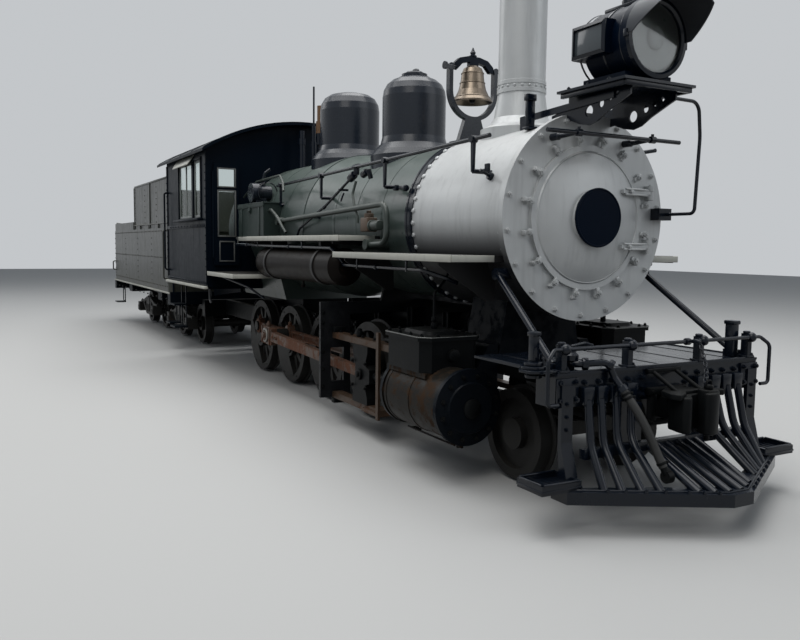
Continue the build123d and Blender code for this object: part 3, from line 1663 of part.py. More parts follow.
def under_roof(extra):
    """The cab's outline under its roof, lowered by extra."""
    with BuildSketch() as outline:
        with BuildLine():
            ThreePointArc((-roof_half, eave_z - extra), (0, roof_peak_z - extra), (roof_half, eave_z - extra))
            Polyline(
                (roof_half, eave_z - extra),
                (roof_half, cab_sill_z),
                (-roof_half, cab_sill_z),
                (-roof_half, eave_z - extra),
            )
        make_face()
    return outline.sketch


with BuildPart() as cab_roof:
    with BuildSketch(cross_plane(roof_rear_x)):
        add(under_roof(0))
        add(under_roof(roof_thickness), mode=Mode.SUBTRACT)
    extrude(amount=roof_front_x - roof_rear_x)
    with BuildSketch(cross_plane(roof_rear_x)):
        with Locations((0, cab_sill_z + 800)):
            Rectangle(3 * roof_half, 1600 + 2 * (eave_z - roof_thickness - cab_sill_z - 1600))
    extrude(amount=roof_front_x - roof_rear_x, mode=Mode.SUBTRACT)
finish(cab_roof, "cab_roof")

with BuildPart() as cab_walls:
    with BuildSketch(cross_plane(cab_front_x - cab_wall)):
        add(under_roof(roof_thickness + seat_gap))
        with Locations((0, (cab_sill_z + roof_peak_z) / 2)):
            Rectangle(2 * cab_half, 2 * (roof_peak_z - cab_sill_z), mode=Mode.INTERSECT)
        for side in SIDES:
            with Locations(
                (side * (cab_door_inner_y + cab_door_outer_y) / 2, (cab_door_low_z + cab_door_high_z) / 2)
            ):
                Rectangle(
                    cab_door_outer_y - cab_door_inner_y - 40,
                    cab_door_high_z - cab_door_low_z - 40,
                    mode=Mode.SUBTRACT,
                )
    extrude(amount=cab_wall)
    for side in SIDES:
        with BuildSketch(side_plane(side * (cab_half - cab_wall))):
            with Locations(((cab_front_x + cab_rear_x) / 2, (cab_sill_z + eave_z + 60) / 2)):
                Rectangle(cab_front_x - cab_rear_x, eave_z + 60 - cab_sill_z)
            for window_rear, window_front, window_low, window_high in side_windows:
                with Locations(((window_rear + window_front) / 2, (window_low + window_high) / 2)):
                    Rectangle(window_front - window_rear, window_high - window_low, mode=Mode.SUBTRACT)
        extrude(amount=-side * cab_wall)
    with BuildSketch(cross_plane(cab_rear_x - 10)):
        with Locations((0, roof_peak_z)):
            Rectangle(3000, 900)
        add(under_roof(roof_thickness + seat_gap), mode=Mode.SUBTRACT)
    extrude(amount=cab_front_x - cab_rear_x + 20, mode=Mode.SUBTRACT)
    with BuildSketch(cross_plane(cab_front_x - cab_wall)):
        add(firebox_outline(seat_gap))
    extrude(amount=cab_wall, mode=Mode.SUBTRACT)
finish(cab_walls, "cab_walls")

with BuildPart() as cab_floor:
    with BuildSketch(Plane.XY.offset(cab_sill_z - 30)):
        with Locations(((cab_front_x - cab_wall + cab_rear_x) / 2, 0)):
            Rectangle(cab_front_x - cab_wall - cab_rear_x - 2, 2 * (cab_half - cab_wall) - 2 * seat_gap)
    extrude(amount=60)
    with BuildSketch(cross_plane(backhead_x - seat_gap)):
        add(firebox_outline(seat_gap))
    extrude(amount=2000, mode=Mode.SUBTRACT)
    for side in SIDES:
        with BuildSketch(side_plane(side * 560)):
            with BuildLine():
                Polyline(
                    (backhead_x - 120, cab_sill_z - 29),
                    (frame_rear_x + 20, cab_sill_z - 29),
                    (frame_rear_x - 20, frame_top_z + seat_gap),
                    (frame_rear_x - 140, frame_top_z + seat_gap),
                    (frame_rear_x - 140, frame_top_z + 60),
                    (backhead_x - 120, cab_sill_z - 130),
                    close=True,
                )
            make_face()
        extrude(amount=-side * 40)
        for step_z in (rail_z + 420, rail_z + 760):
            with BuildSketch(Plane.XY.offset(step_z)):
                with Locations((cab_rear_x + 170, side * 1230)):
                    Rectangle(300, 200)
            extrude(amount=24)
        hanger_top_z = cab_sill_z - 30 - seat_gap
        for hanger_x in (cab_rear_x + 30, cab_rear_x + 310):
            with BuildSketch(side_plane(side * 1140)):
                with Locations((hanger_x, (rail_z + 420 + hanger_top_z) / 2)):
                    Rectangle(30, hanger_top_z - rail_z - 420)
            extrude(amount=-side * 16)
    for side in SIDES:
        with BuildSketch(Plane.XY.offset(cab_sill_z + 29)):
            with Locations((cab_rear_x + 640, side * 1085)):
                Rectangle(900, 440)
        extrude(amount=480)
finish(cab_floor, "cab_floor")


def cab_door(side):
    """One front cab door with its window cut and its hinge barrel at the outer edge."""
    with BuildPart() as door:
        with BuildSketch(cross_plane(cab_front_x + seat_gap)):
            with Locations(
                (side * (cab_door_inner_y + cab_door_outer_y) / 2, (cab_door_low_z + cab_door_high_z) / 2)
            ):
                Rectangle(cab_door_outer_y - cab_door_inner_y, cab_door_high_z - cab_door_low_z)
            for pane_low, pane_high in ((1800, 2370), (2430, 2650)):
                with Locations((side * (cab_door_inner_y + cab_door_outer_y) / 2, rail_z + (pane_low + pane_high) / 2)):
                    Rectangle(cab_door_outer_y - cab_door_inner_y - 120, pane_high - pane_low, mode=Mode.SUBTRACT)
        extrude(amount=cab_door_thickness)
        with BuildSketch(Plane.XY.offset(cab_door_low_z + 100)):
            with Locations((cab_front_x + cab_door_thickness / 2 + 8, side * (cab_door_outer_y + 6))):
                Circle(16)
        extrude(amount=cab_door_high_z - cab_door_low_z - 200)
    return door


finish(cab_door(RIGHT), "cab_door_right")
finish(cab_door(LEFT), "cab_door_left")

with BuildPart() as backhead:
    with BuildSketch(cross_plane(backhead_x - 60)):
        with Locations((0, boiler_z - 330)):
            RectangleRounded(520, 420, 60)
    extrude(amount=60 - seat_gap)
    with BuildSketch(cross_plane(backhead_x - 90)):
        with Locations((0, boiler_z + 620)):
            Rectangle(760, 90)
        with Locations((0, boiler_z + 330)):
            Rectangle(160, 160)
    extrude(amount=90 - seat_gap)
    with BuildSketch(cross_plane(backhead_x - 150)):
        with Locations((-90, boiler_z + 330)):
            Rectangle(560, 44, rotation=24)
    extrude(amount=44)
    with BuildSketch(cross_plane(backhead_x - 150)):
        with Locations((0, boiler_z + 330)):
            Circle(40)
    extrude(amount=70)
    for gauge_y in (-300, 0, 300):
        with BuildSketch(cross_plane(backhead_x - 110)):
            with Locations((gauge_y, boiler_z + 700)):
                Circle(76)
        extrude(amount=60)
        with BuildSketch(cross_plane(backhead_x - 80)):
            with Locations((gauge_y, boiler_z + 640)):
                Rectangle(40, 60)
        extrude(amount=30)
finish(backhead, "backhead_fittings")

# Leading truck: side bearers, cross beams and the swing bar back to its pivot
pony_bearer_y = 290.0
with BuildPart() as pony_truck:
    for side in SIDES:
        with BuildSketch(side_plane(side * (pony_bearer_y - 35))):
            with Locations((pony_x, pony_z + 40)):
                Rectangle(560, 180)
            with Locations((pony_x, pony_z)):
                Rectangle(200, 230)
                Circle(pony_axle_r + running_fit, mode=Mode.SUBTRACT)
        extrude(amount=-side * 70)
    for beam_x in (pony_x - 240, pony_x + 240):
        with BuildSketch(cross_plane(beam_x - 30)):
            with Locations((0, pony_z + 60)):
                Rectangle(2 * pony_bearer_y, 100)
        extrude(amount=60)
    with BuildSketch(Plane.XY.offset(pony_z + 102)):
        with Locations((pony_x, 0)):
            Rectangle(560, 240)
    extrude(amount=26)
    with BuildSketch(Plane.XY.offset(pony_pivot_z - 20)):
        with BuildLine():
            Polyline(
                (pony_x - 250, -pony_bearer_y + 36),
                (pony_x - 250, pony_bearer_y - 36),
                (pony_pivot_x, 90),
                (pony_pivot_x, -90),
                close=True,
            )
        make_face()
        with BuildLine():
            Polyline(
                (pony_x - 330, -pony_bearer_y + 130),
                (pony_x - 330, pony_bearer_y - 130),
                (pony_pivot_x + 420, 50),
                (pony_pivot_x + 420, -50),
                close=True,
            )
        make_face(mode=Mode.SUBTRACT)
        with Locations((pony_pivot_x, 0)):
            Circle(90)
            Circle(45 + running_fit, mode=Mode.SUBTRACT)
    extrude(amount=40)
finish(pony_truck, "pony_truck")


def plain_axle(axle_x, axle_z, tread_r, axle_r, end_y, plate):
    """An axle with two dished plate wheels, its ends reaching end_y."""
    with BuildPart() as axle:
        add(axle_bar(axle_x, axle_z, axle_r, end_y))
        for side in SIDES:
            add(wheel_rim(axle_x, axle_z, side, tread_r, tread_r - 70))
            add(side_disc(axle_x, axle_z, tread_r - 69, side, wheel_back_y + 45, wheel_back_y + 45 + plate))
            add(side_disc(axle_x, axle_z, axle_r + 55, side, wheel_back_y + 4, wheel_face_y + 8))
    return axle


finish(plain_axle(pony_x, pony_z, pony_r, pony_axle_r, wheel_back_y + 60, 40), "pony_axle")


# Tender frame on two trucks
tender_frame_half = 620.0
with BuildPart() as tender_frame:
    with BuildSketch(Plane.XY.offset(tender_z)):
        for beam_x, beam_width in ((tender_front_x - 90, 180), (tender_rear_x + 90, 180)):
            with Locations((beam_x, 0)):
                Rectangle(beam_width, 2 * tender_half_width)
        for sill_y in (-tender_frame_half, -220, 220, tender_frame_half):
            with Locations(((tender_front_x + tender_rear_x) / 2, sill_y)):
                Rectangle(tender_front_x - tender_rear_x - 20, 110)
        for bolster_x in tender_truck_x:
            with Locations((bolster_x, 0)):
                Rectangle(320, 2 * tender_half_width - 200)
    extrude(amount=tender_frame_depth)
    with BuildSketch(Plane.XY.offset(tender_z + tender_frame_depth - 1)):
        with Locations(((tender_front_x + tender_rear_x) / 2, 0)):
            Rectangle(tender_front_x - tender_rear_x, 2 * tender_half_width)
    extrude(amount=36)
    for bolster_x in tender_truck_x:
        with BuildSketch(Plane.XY.offset(tender_z - 60)):
            with Locations((bolster_x, 0)):
                Circle(150)
        extrude(amount=60 - seat_gap)
    with BuildSketch(Plane.XY.offset(rail_z + 560)):
        with Locations(((tender_front_x - 190 + drawbar_pin_x) / 2, 0)):
            Rectangle(drawbar_pin_x - tender_front_x + 190, 164)
        with Locations((drawbar_pin_x, 0)):
            Circle(82)
            Circle(drawbar_pin_r + running_fit, mode=Mode.SUBTRACT)
    extrude(amount=70)
    with BuildSketch(Plane.XY.offset(rail_z + 600)):
        with Locations((tender_front_x - 120, 0)):
            Rectangle(160, 200)
    extrude(amount=tender_z - rail_z - 600 - seat_gap)
    for side in SIDES:
        for step_x in (tender_front_x - 170, tender_rear_x + 170):
            with BuildSketch(Plane.XY.offset(rail_z + 400)):
                with Locations((step_x, side * 1120)):
                    Rectangle(300, 180)
            extrude(amount=22)
            with BuildSketch(side_plane(side * 1030)):
                with Locations((step_x, (rail_z + 402 + tender_z - seat_gap) / 2)):
                    Rectangle(260, tender_z - seat_gap - rail_z - 402)
                    Rectangle(200, tender_z - rail_z - 470, mode=Mode.SUBTRACT)
            extrude(amount=-side * 16)
    for side in SIDES:
        for rail_x in (tender_front_x - 30, tender_rear_x + 30):
            with BuildSketch(Plane.XY.offset(tender_z + tender_frame_depth + 35 + seat_gap)):
                with Locations((rail_x, side * (tender_half_width - 60))):
                    Circle(14)
            extrude(amount=1000)
finish(tender_frame, "tender_frame")

# Tender tank: a U round the coal space, a sloping floor in it, and coal boards above
tank_low_z = tender_z + tender_frame_depth + 35 + seat_gap
tank_front_x = tender_front_x - 60
tank_rear_x = tender_rear_x + 60
coal_rear_x = tank_front_x - 3100
coal_half = 760.0
board_wall = 24.0
hatch_x = tank_rear_x + 700
hatch_half = 330.0
hatch_height = 90.0
with BuildPart() as tender_tank:
    with BuildSketch(Plane.XY.offset(tank_low_z)) as tank_plan:
        with Locations(((tank_front_x + tank_rear_x) / 2, 0)):
            RectangleRounded(tank_front_x - tank_rear_x, 2 * tender_half_width, 90)
    extrude(amount=tank_top_z - tank_low_z)
    with BuildSketch(side_plane(-coal_half)):
        with BuildLine():
            Polyline(
                (tank_front_x + 10, tank_low_z + 60),
                (tank_front_x - 700, tank_low_z + 60),
                (coal_rear_x, tank_top_z - 120),
                (coal_rear_x, tank_top_z + 10),
                (tank_front_x + 10, tank_top_z + 10),
                close=True,
            )
        make_face()
    extrude(amount=-2 * coal_half, mode=Mode.SUBTRACT)
    with BuildSketch(Plane.XY.offset(tank_top_z - 1)):
        with Locations(((tank_front_x + coal_rear_x) / 2, 0)):
            Rectangle(tank_front_x - coal_rear_x - 60, 2 * (tender_half_width - 40))
            with Locations((board_wall, 0)):
                Rectangle(
                    tank_front_x - coal_rear_x - 60,
                    2 * (tender_half_width - 40 - board_wall),
                    mode=Mode.SUBTRACT,
                )
    extrude(amount=coal_board_z - tank_top_z)
    with BuildSketch(Plane.XY.offset(tank_top_z - 1)):
        with Locations(((coal_rear_x + tank_rear_x) / 2, 0)):
            RectangleRounded(coal_rear_x - tank_rear_x - 20, 2 * tender_half_width - 20, 60)
            offset(amount=-14, mode=Mode.SUBTRACT)
    extrude(amount=150)
    with BuildSketch(Plane.XY.offset(tank_top_z - 1)):
        with Locations((hatch_x, 0)):
            Rectangle(460, 2 * hatch_half)
            Rectangle(400, 2 * hatch_half - 60, mode=Mode.SUBTRACT)
    extrude(amount=hatch_height + 1)
finish(tender_tank, "tender_tank")

hatch_lid_z = tank_top_z + hatch_height + seat_gap
with BuildPart() as hatch_lid:
    with BuildSketch(Plane.XY.offset(hatch_lid_z)):
        with Locations((hatch_x, 0)):
            Rectangle(500, 2 * hatch_half + 40)
    extrude(amount=16)
    with BuildSketch(side_plane(-hatch_half + 60)):
        with Locations((hatch_x + 262, hatch_lid_z + 8)):
            Circle(14)
    extrude(amount=-2 * hatch_half + 120)
    with BuildSketch(side_plane(-60)):
        with Locations((hatch_x - 180, hatch_lid_z + 30)):
            SlotOverall(100, 50)
            SlotOverall(74, 26, mode=Mode.SUBTRACT)
    extrude(amount=-16)
finish(hatch_lid, "tender_hatch_lid")

finish(coupler(tender_rear_x - seat_gap, -1), "rear_coupler")

# Tender trucks: arch-bar side frames outside the wheels, bolster and spring plank
truck_side_y = 720.0
truck_side_thickness = 60.0


def tender_truck(middle_x):
    """One four-wheel tender truck without its axles."""
    axle_z = rail_z + tender_wheel_r
    half_base = tender_wheelbase / 2
    with BuildPart() as truck:
        for side in SIDES:
            with BuildSketch(side_plane(side * (truck_side_y - truck_side_thickness / 2))):
                with BuildLine():
                    Polyline(
                        (middle_x - half_base - 130, axle_z + 95),
                        (middle_x - half_base - 130, axle_z + 140),
                        (middle_x - half_base + 100, axle_z + 140),
                        (middle_x - 210, axle_z + 240),
                        (middle_x + 210, axle_z + 240),
                        (middle_x + half_base - 100, axle_z + 140),
                        (middle_x + half_base + 130, axle_z + 140),
                        (middle_x + half_base + 130, axle_z + 95),
                        (middle_x + half_base - 90, axle_z + 95),
                        (middle_x + 230, axle_z - 120),
                        (middle_x - 230, axle_z - 120),
                        (middle_x - half_base + 90, axle_z + 95),
                        close=True,
                    )
                make_face()
                for window_x in (-1, 1):
                    with BuildLine():
                        Polyline(
                            (middle_x + window_x * 240, axle_z + 180),
                            (middle_x + window_x * 430, axle_z + 110),
                            (middle_x + window_x * 400, axle_z + 70),
                            (middle_x + window_x * 240, axle_z - 60),
                            close=True,
                        )
                    make_face(mode=Mode.SUBTRACT)
                with Locations((middle_x, axle_z + 20)):
                    Rectangle(300, 150, mode=Mode.SUBTRACT)
            extrude(amount=-side * truck_side_thickness)
            for axle_x in (middle_x - half_base, middle_x + half_base):
                with BuildSketch(side_plane(side * (truck_side_y - 80))):
                    with Locations((axle_x, axle_z + 10)):
                        Rectangle(180, 190)
                extrude(amount=-side * 170)
            for spring_x in (middle_x - 75, middle_x + 75):
                with BuildSketch(Plane.XY.offset(axle_z - 56)):
                    with Locations((spring_x, side * truck_side_y)):
                        Circle(58)
                extrude(amount=152)
        with BuildSketch(side_plane(-truck_side_y - 40)):
            with Locations((middle_x, axle_z + 168)):
                Rectangle(260, 146)
        extrude(amount=-2 * truck_side_y - 80)
        with BuildSketch(side_plane(-truck_side_y)):
            with Locations((middle_x, axle_z - 90)):
                Rectangle(300, 58)
        extrude(amount=-2 * truck_side_y)
        with BuildSketch(Plane.XY.offset(axle_z + 240)):
            with Locations((middle_x, 0)):
                Circle(130)
        extrude(amount=tender_z - 60 - axle_z - 240 - seat_gap)
        for axle_x in (middle_x - half_base, middle_x + half_base):
            with BuildSketch(side_plane(-truck_side_y + 80)):
                with Locations((axle_x, axle_z)):
                    Circle(tender_axle_r + running_fit)
            extrude(amount=-2 * truck_side_y + 160, mode=Mode.SUBTRACT)
            with BuildSketch(side_plane(-truck_side_y - 60)):
                with Locations((axle_x, axle_z)):
                    Circle(tender_axle_r + running_fit)
            extrude(amount=-2 * truck_side_y - 120, mode=Mode.SUBTRACT)
    return truck


for truck_number, truck_x in enumerate(tender_truck_x, start=1):
    finish(tender_truck(truck_x), f"tender_truck_{truck_number}")
    for place, axle_x in enumerate((truck_x + tender_wheelbase / 2, truck_x - tender_wheelbase / 2), start=1):
        axle_number = 2 * truck_number - 2 + place
        axle = plain_axle(
            axle_x, rail_z + tender_wheel_r, tender_wheel_r, tender_axle_r, truck_side_y + 50, 34
        )
        finish(axle, f"tender_axle_{axle_number}")
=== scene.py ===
"""Looks for the narrow-gauge locomotive and its tender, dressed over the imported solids."""

import json
import math

import bmesh
import bpy
from mathutils import Matrix, Vector


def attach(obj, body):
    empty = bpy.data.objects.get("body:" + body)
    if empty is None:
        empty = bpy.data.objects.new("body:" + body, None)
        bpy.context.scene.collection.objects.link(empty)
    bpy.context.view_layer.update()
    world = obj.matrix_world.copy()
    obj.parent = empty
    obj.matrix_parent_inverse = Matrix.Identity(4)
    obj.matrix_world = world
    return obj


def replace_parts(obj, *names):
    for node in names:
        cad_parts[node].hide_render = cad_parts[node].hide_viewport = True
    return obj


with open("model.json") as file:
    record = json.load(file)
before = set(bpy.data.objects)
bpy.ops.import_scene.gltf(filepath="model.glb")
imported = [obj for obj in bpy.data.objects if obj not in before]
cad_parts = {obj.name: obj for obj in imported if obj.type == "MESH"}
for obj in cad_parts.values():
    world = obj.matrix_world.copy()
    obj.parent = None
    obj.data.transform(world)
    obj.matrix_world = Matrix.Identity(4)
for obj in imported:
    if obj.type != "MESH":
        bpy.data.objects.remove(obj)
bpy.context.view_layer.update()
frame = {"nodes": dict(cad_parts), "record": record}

# Driving places, in metres: X to the front, Y to the engine's left, Z up
RAIL = 0.025
FRONT = 6.4
RIGHT = -1
LEFT = 1
SIDES = (RIGHT, LEFT)
BOILER_Z = RAIL + 1.914
SMOKEBOX_R = 0.72
SMOKEBOX_REAR = FRONT - 1.35
FRONT_FACE = FRONT + 0.0203
CYLINDER_Y = 0.91
CYLINDER_Z = RAIL + 0.54
DRIVER_X = [FRONT - 2.459 - 1.101 * k for k in range(4)]
DRIVER_Z = RAIL + 0.47
CAB_FRONT = FRONT - 5.58
CAB_HALF = 1.343
TENDER_FRONT = FRONT - 8.4
TENDER_REAR = FRONT - 13.85
BEAM_FRONT = FRONT + 0.826
BEAM_TOP = RAIL + 0.914
DECK_TOP = BEAM_TOP + 0.014
TANK_FRONT = TENDER_FRONT - 0.06
TANK_REAR = TENDER_REAR + 0.06
CRANK_DEG = {RIGHT: 36, LEFT: -54}
WRIST_X = {RIGHT: FRONT - 1.8067, LEFT: FRONT - 1.8761}
CRANK_PIN = {RIGHT: (FRONT - 4.4555, RAIL + 0.6193), LEFT: (FRONT - 4.5117, RAIL + 0.2645)}
CRANK_THROW = 0.254
SIDE_NAME = {RIGHT: "right", LEFT: "left"}
AHEAD = (1, 0, 0)
ACROSS = (0, 1, 0)
UP = (0, 0, 1)


def at(x, y, z):
    """A place from the smokebox front, the middle and the rail."""
    return (FRONT + x, y, RAIL + z)


def on_deck(x, y, z):
    """A place from the beam's face, the middle and the front deck's top."""
    return (BEAM_FRONT + x, y, DECK_TOP + z)


# Camera and lights
def look_matrix(position, right, up, back):
    """The world matrix of a camera at position with the given axes."""
    turn = Matrix((right, up, back)).transposed().to_4x4()
    return Matrix.Translation(position) @ turn


scene = bpy.context.scene
camera = bpy.data.objects.new("camera", bpy.data.cameras.new("camera"))
scene.collection.objects.link(camera)
camera.data.sensor_width = 36.0
camera.data.lens = 35.5686
camera.data.clip_end = 200.0
camera.matrix_world = look_matrix(
    Vector((10.94907, -4.03255, 1.71676)),
    Vector((0.47764484, 0.87847687, 0.01156728)),
    Vector((-0.08716329, 0.03428282, 0.99560396)),
    Vector((0.87421849, -0.47655333, 0.09294595)),
)
scene.camera = camera
scene.view_settings.view_transform = "Standard"


def soft_light(name, place, target, size, power, colour=(1.0, 1.0, 1.0)):
    """A large square lamp at place, facing target."""
    lamp = bpy.data.lights.new(name, "AREA")
    lamp.shape = "SQUARE"
    lamp.size = size
    lamp.energy = power
    lamp.color = colour
    holder = bpy.data.objects.new(name, lamp)
    holder.location = place
    holder.rotation_euler = (Vector(target) - Vector(place)).to_track_quat("-Z", "Y").to_euler()
    scene.collection.objects.link(holder)


soft_light("key_light", (13, -11, 16), (3, 0, 1.5), 10.0, 900, (1.0, 0.98, 0.95))
soft_light("fill_light", (15, 8, 9), (4, 0, 1.5), 9.0, 260, (0.94, 0.97, 1.0))
soft_light("rear_light", (-15, -9, 12), (-3, 0, 1.5), 9.0, 420)
soft_light("top_light", (1, 0, 15), (1, 0, 0), 16.0, 2600)


# Shader helpers
def new_group(name, inputs, outputs):
    """An empty shader group with named sockets; inputs and outputs are (name, kind, default) rows."""
    group = bpy.data.node_groups.new(name, "ShaderNodeTree")
    for socket_name, kind, default in inputs:
        socket = group.interface.new_socket(socket_name, in_out="INPUT", socket_type=kind)
        if default is not None:
            socket.default_value = default
    for socket_name, kind, _ in outputs:
        group.interface.new_socket(socket_name, in_out="OUTPUT", socket_type=kind)
    return group, group.nodes.new("NodeGroupInput"), group.nodes.new("NodeGroupOutput")


def math_node(tree, operation, first, second=None, third=None, clamp=False):
    """A math node whose inputs are sockets or numbers; returns its output."""
    node = tree.nodes.new("ShaderNodeMath")
    node.operation = operation
    node.use_clamp = clamp
    for index, value in enumerate((first, second, third)):
        if value is None:
            continue
        if isinstance(value, (int, float)):
            node.inputs[index].default_value = value
        else:
            tree.links.new(value, node.inputs[index])
    return node.outputs[0]


def ramp_node(tree, value, low, high):
    """value mapped from low..high to 0..1, smoothed and clamped."""
    node = tree.nodes.new("ShaderNodeMapRange")
    node.interpolation_type = "SMOOTHSTEP"
    node.inputs["From Min"].default_value = low
    node.inputs["From Max"].default_value = high
    tree.links.new(value, node.inputs["Value"])
    return node.outputs["Result"]


def noise_node(tree, vector, scale, detail, rough):
    """A noise texture's value."""
    node = tree.nodes.new("ShaderNodeTexNoise")
    node.inputs["Scale"].default_value = scale
    node.inputs["Detail"].default_value = detail
    node.inputs["Roughness"].default_value = rough
    tree.links.new(vector, node.inputs["Vector"])
    return node.outputs["Fac"]


def mix_node(tree, factor, first, second, mode="MIX"):
    """A colour mix of sockets or colours; returns its output."""
    node = tree.nodes.new("ShaderNodeMix")
    node.data_type = "RGBA"
    node.blend_type = mode
    for socket, value in ((node.inputs[0], factor), (node.inputs[6], first), (node.inputs[7], second)):
        if isinstance(value, (int, float)):
            socket.default_value = value
        elif isinstance(value, tuple):
            socket.default_value = (*value, 1.0)[:4]
        else:
            tree.links.new(value, socket)
    return node.outputs[2]


# Sky, pale to what sees it and soft to what it lights
world = bpy.data.worlds.new("world")
scene.world = world
world.use_nodes = True
sky_tree = world.node_tree
sky_tree.nodes.clear()


def seen_rays(tree):
    """1 for camera, glossy and transmission rays, which all see the same pale surroundings."""
    rays = tree.nodes.new("ShaderNodeLightPath").outputs
    seen = math_node(tree, "ADD", rays["Is Camera Ray"], rays["Is Glossy Ray"])
    return math_node(tree, "ADD", seen, rays["Is Transmission Ray"], clamp=True)


sky_out = sky_tree.nodes.new("ShaderNodeOutputWorld")
sky_mix = sky_tree.nodes.new("ShaderNodeMixShader")
sky_light = sky_tree.nodes.new("ShaderNodeBackground")
sky_seen = sky_tree.nodes.new("ShaderNodeBackground")
sky_light.inputs["Color"].default_value = (0.82, 0.90, 1.0, 1)
sky_light.inputs["Strength"].default_value = 0.26
sky_seen.inputs["Color"].default_value = (0.55, 0.57, 0.59, 1)
sky_seen.inputs["Strength"].default_value = 1.0
sky_tree.links.new(seen_rays(sky_tree), sky_mix.inputs["Fac"])
sky_tree.links.new(sky_light.outputs["Background"], sky_mix.inputs[1])
sky_tree.links.new(sky_seen.outputs["Background"], sky_mix.inputs[2])
sky_tree.links.new(sky_mix.outputs["Shader"], sky_out.inputs["Surface"])


def make_weathering():
    """Paint with blotches, rust spots, rain streaks and dust on what faces up and lies low."""
    group, source, sink = new_group(
        "weathering",
        [
            ("Paint", "NodeSocketColor", (0.1, 0.1, 0.1, 1)),
            ("Rust", "NodeSocketColor", (0.16, 0.07, 0.035, 1)),
            ("Dust", "NodeSocketColor", (0.36, 0.31, 0.25, 1)),
            ("Rusting", "NodeSocketFloat", 0.2),
            ("Dusting", "NodeSocketFloat", 0.3),
            ("Streaking", "NodeSocketFloat", 0.2),
            ("Smooth", "NodeSocketFloat", 0.4),
            ("Rough", "NodeSocketFloat", 0.8),
        ],
        [
            ("Colour", "NodeSocketColor", None),
            ("Roughness", "NodeSocketFloat", None),
            ("Height", "NodeSocketFloat", None),
            ("Wear", "NodeSocketFloat", None),
        ],
    )
    place = group.nodes.new("ShaderNodeTexCoord").outputs["Object"]
    stretch = group.nodes.new("ShaderNodeMapping")
    stretch.inputs["Scale"].default_value = (9.0, 9.0, 0.8)
    group.links.new(place, stretch.inputs["Vector"])
    facing = group.nodes.new("ShaderNodeSeparateXYZ")
    group.links.new(group.nodes.new("ShaderNodeNewGeometry").outputs["Normal"], facing.inputs[0])
    height = group.nodes.new("ShaderNodeSeparateXYZ")
    group.links.new(place, height.inputs[0])

    broad = noise_node(group, place, 1.1, 4.0, 0.55)
    spots = noise_node(group, place, 11.0, 9.0, 0.72)
    fine = noise_node(group, place, 90.0, 4.0, 0.6)
    streaks = noise_node(group, stretch.outputs["Vector"], 1.6, 6.0, 0.6)

    spread = math_node(group, "MULTIPLY_ADD", broad, 0.9, math_node(group, "MULTIPLY", spots, 1.1))
    threshold = math_node(group, "MULTIPLY_ADD", source.outputs["Rusting"], -0.75, 1.42)
    rust_mask = math_node(group, "SUBTRACT", spread, threshold)
    rust_mask = ramp_node(group, rust_mask, -0.05, 0.16)
    streak_mask = math_node(
        group, "MULTIPLY", ramp_node(group, streaks, 0.48, 0.75), source.outputs["Streaking"]
    )
    upward = ramp_node(group, facing.outputs["Z"], 0.15, 0.95)
    low = ramp_node(group, height.outputs["Z"], 1.5, 0.25)
    dust_mask = math_node(group, "MULTIPLY_ADD", upward, 0.9, math_node(group, "MULTIPLY", low, 0.55))
    dust_noise = math_node(group, "MULTIPLY_ADD", spots, 0.9, math_node(group, "MULTIPLY", broad, 0.5))
    dust_mask = math_node(group, "MULTIPLY", dust_mask, dust_noise)
    dust_base = math_node(group, "MULTIPLY_ADD", dust_mask, 1.0, math_node(group, "MULTIPLY", broad, 0.12))
    dust_mask = math_node(group, "MULTIPLY", dust_base, source.outputs["Dusting"], clamp=True)

    shade = math_node(group, "MULTIPLY_ADD", broad, 0.7, 0.65)
    varied = mix_node(group, 1.0, source.outputs["Paint"], (0.5, 0.5, 0.5), "MULTIPLY")
    bright = group.nodes.new("ShaderNodeHueSaturation")
    group.links.new(source.outputs["Paint"], bright.inputs["Color"])
    group.links.new(shade, bright.inputs["Value"])
    colour = mix_node(group, math_node(group, "MULTIPLY", streak_mask, 0.5), bright.outputs["Color"], varied)
    colour = mix_node(group, rust_mask, colour, source.outputs["Rust"])
    colour = mix_node(group, dust_mask, colour, source.outputs["Dust"])
    group.links.new(colour, sink.inputs["Colour"])

    worn = math_node(group, "MAXIMUM", rust_mask, dust_mask)
    worn = math_node(group, "MAXIMUM", worn, math_node(group, "MULTIPLY", streak_mask, 0.5))
    span = math_node(group, "SUBTRACT", source.outputs["Rough"], source.outputs["Smooth"])
    rough = math_node(group, "MULTIPLY_ADD", worn, span, source.outputs["Smooth"])
    rough = math_node(
        group, "MULTIPLY_ADD", math_node(group, "SUBTRACT", spots, 0.5), 0.22, rough, clamp=True,
    )
    group.links.new(rough, sink.inputs["Roughness"])
    relief = math_node(group, "MULTIPLY_ADD", fine, 0.35, math_node(group, "MULTIPLY", spots, 0.65))
    relief = math_node(group, "MULTIPLY_ADD", rust_mask, 0.4, relief)
    group.links.new(relief, sink.inputs["Height"])
    group.links.new(worn, sink.inputs["Wear"])
    return group


weathering = make_weathering()


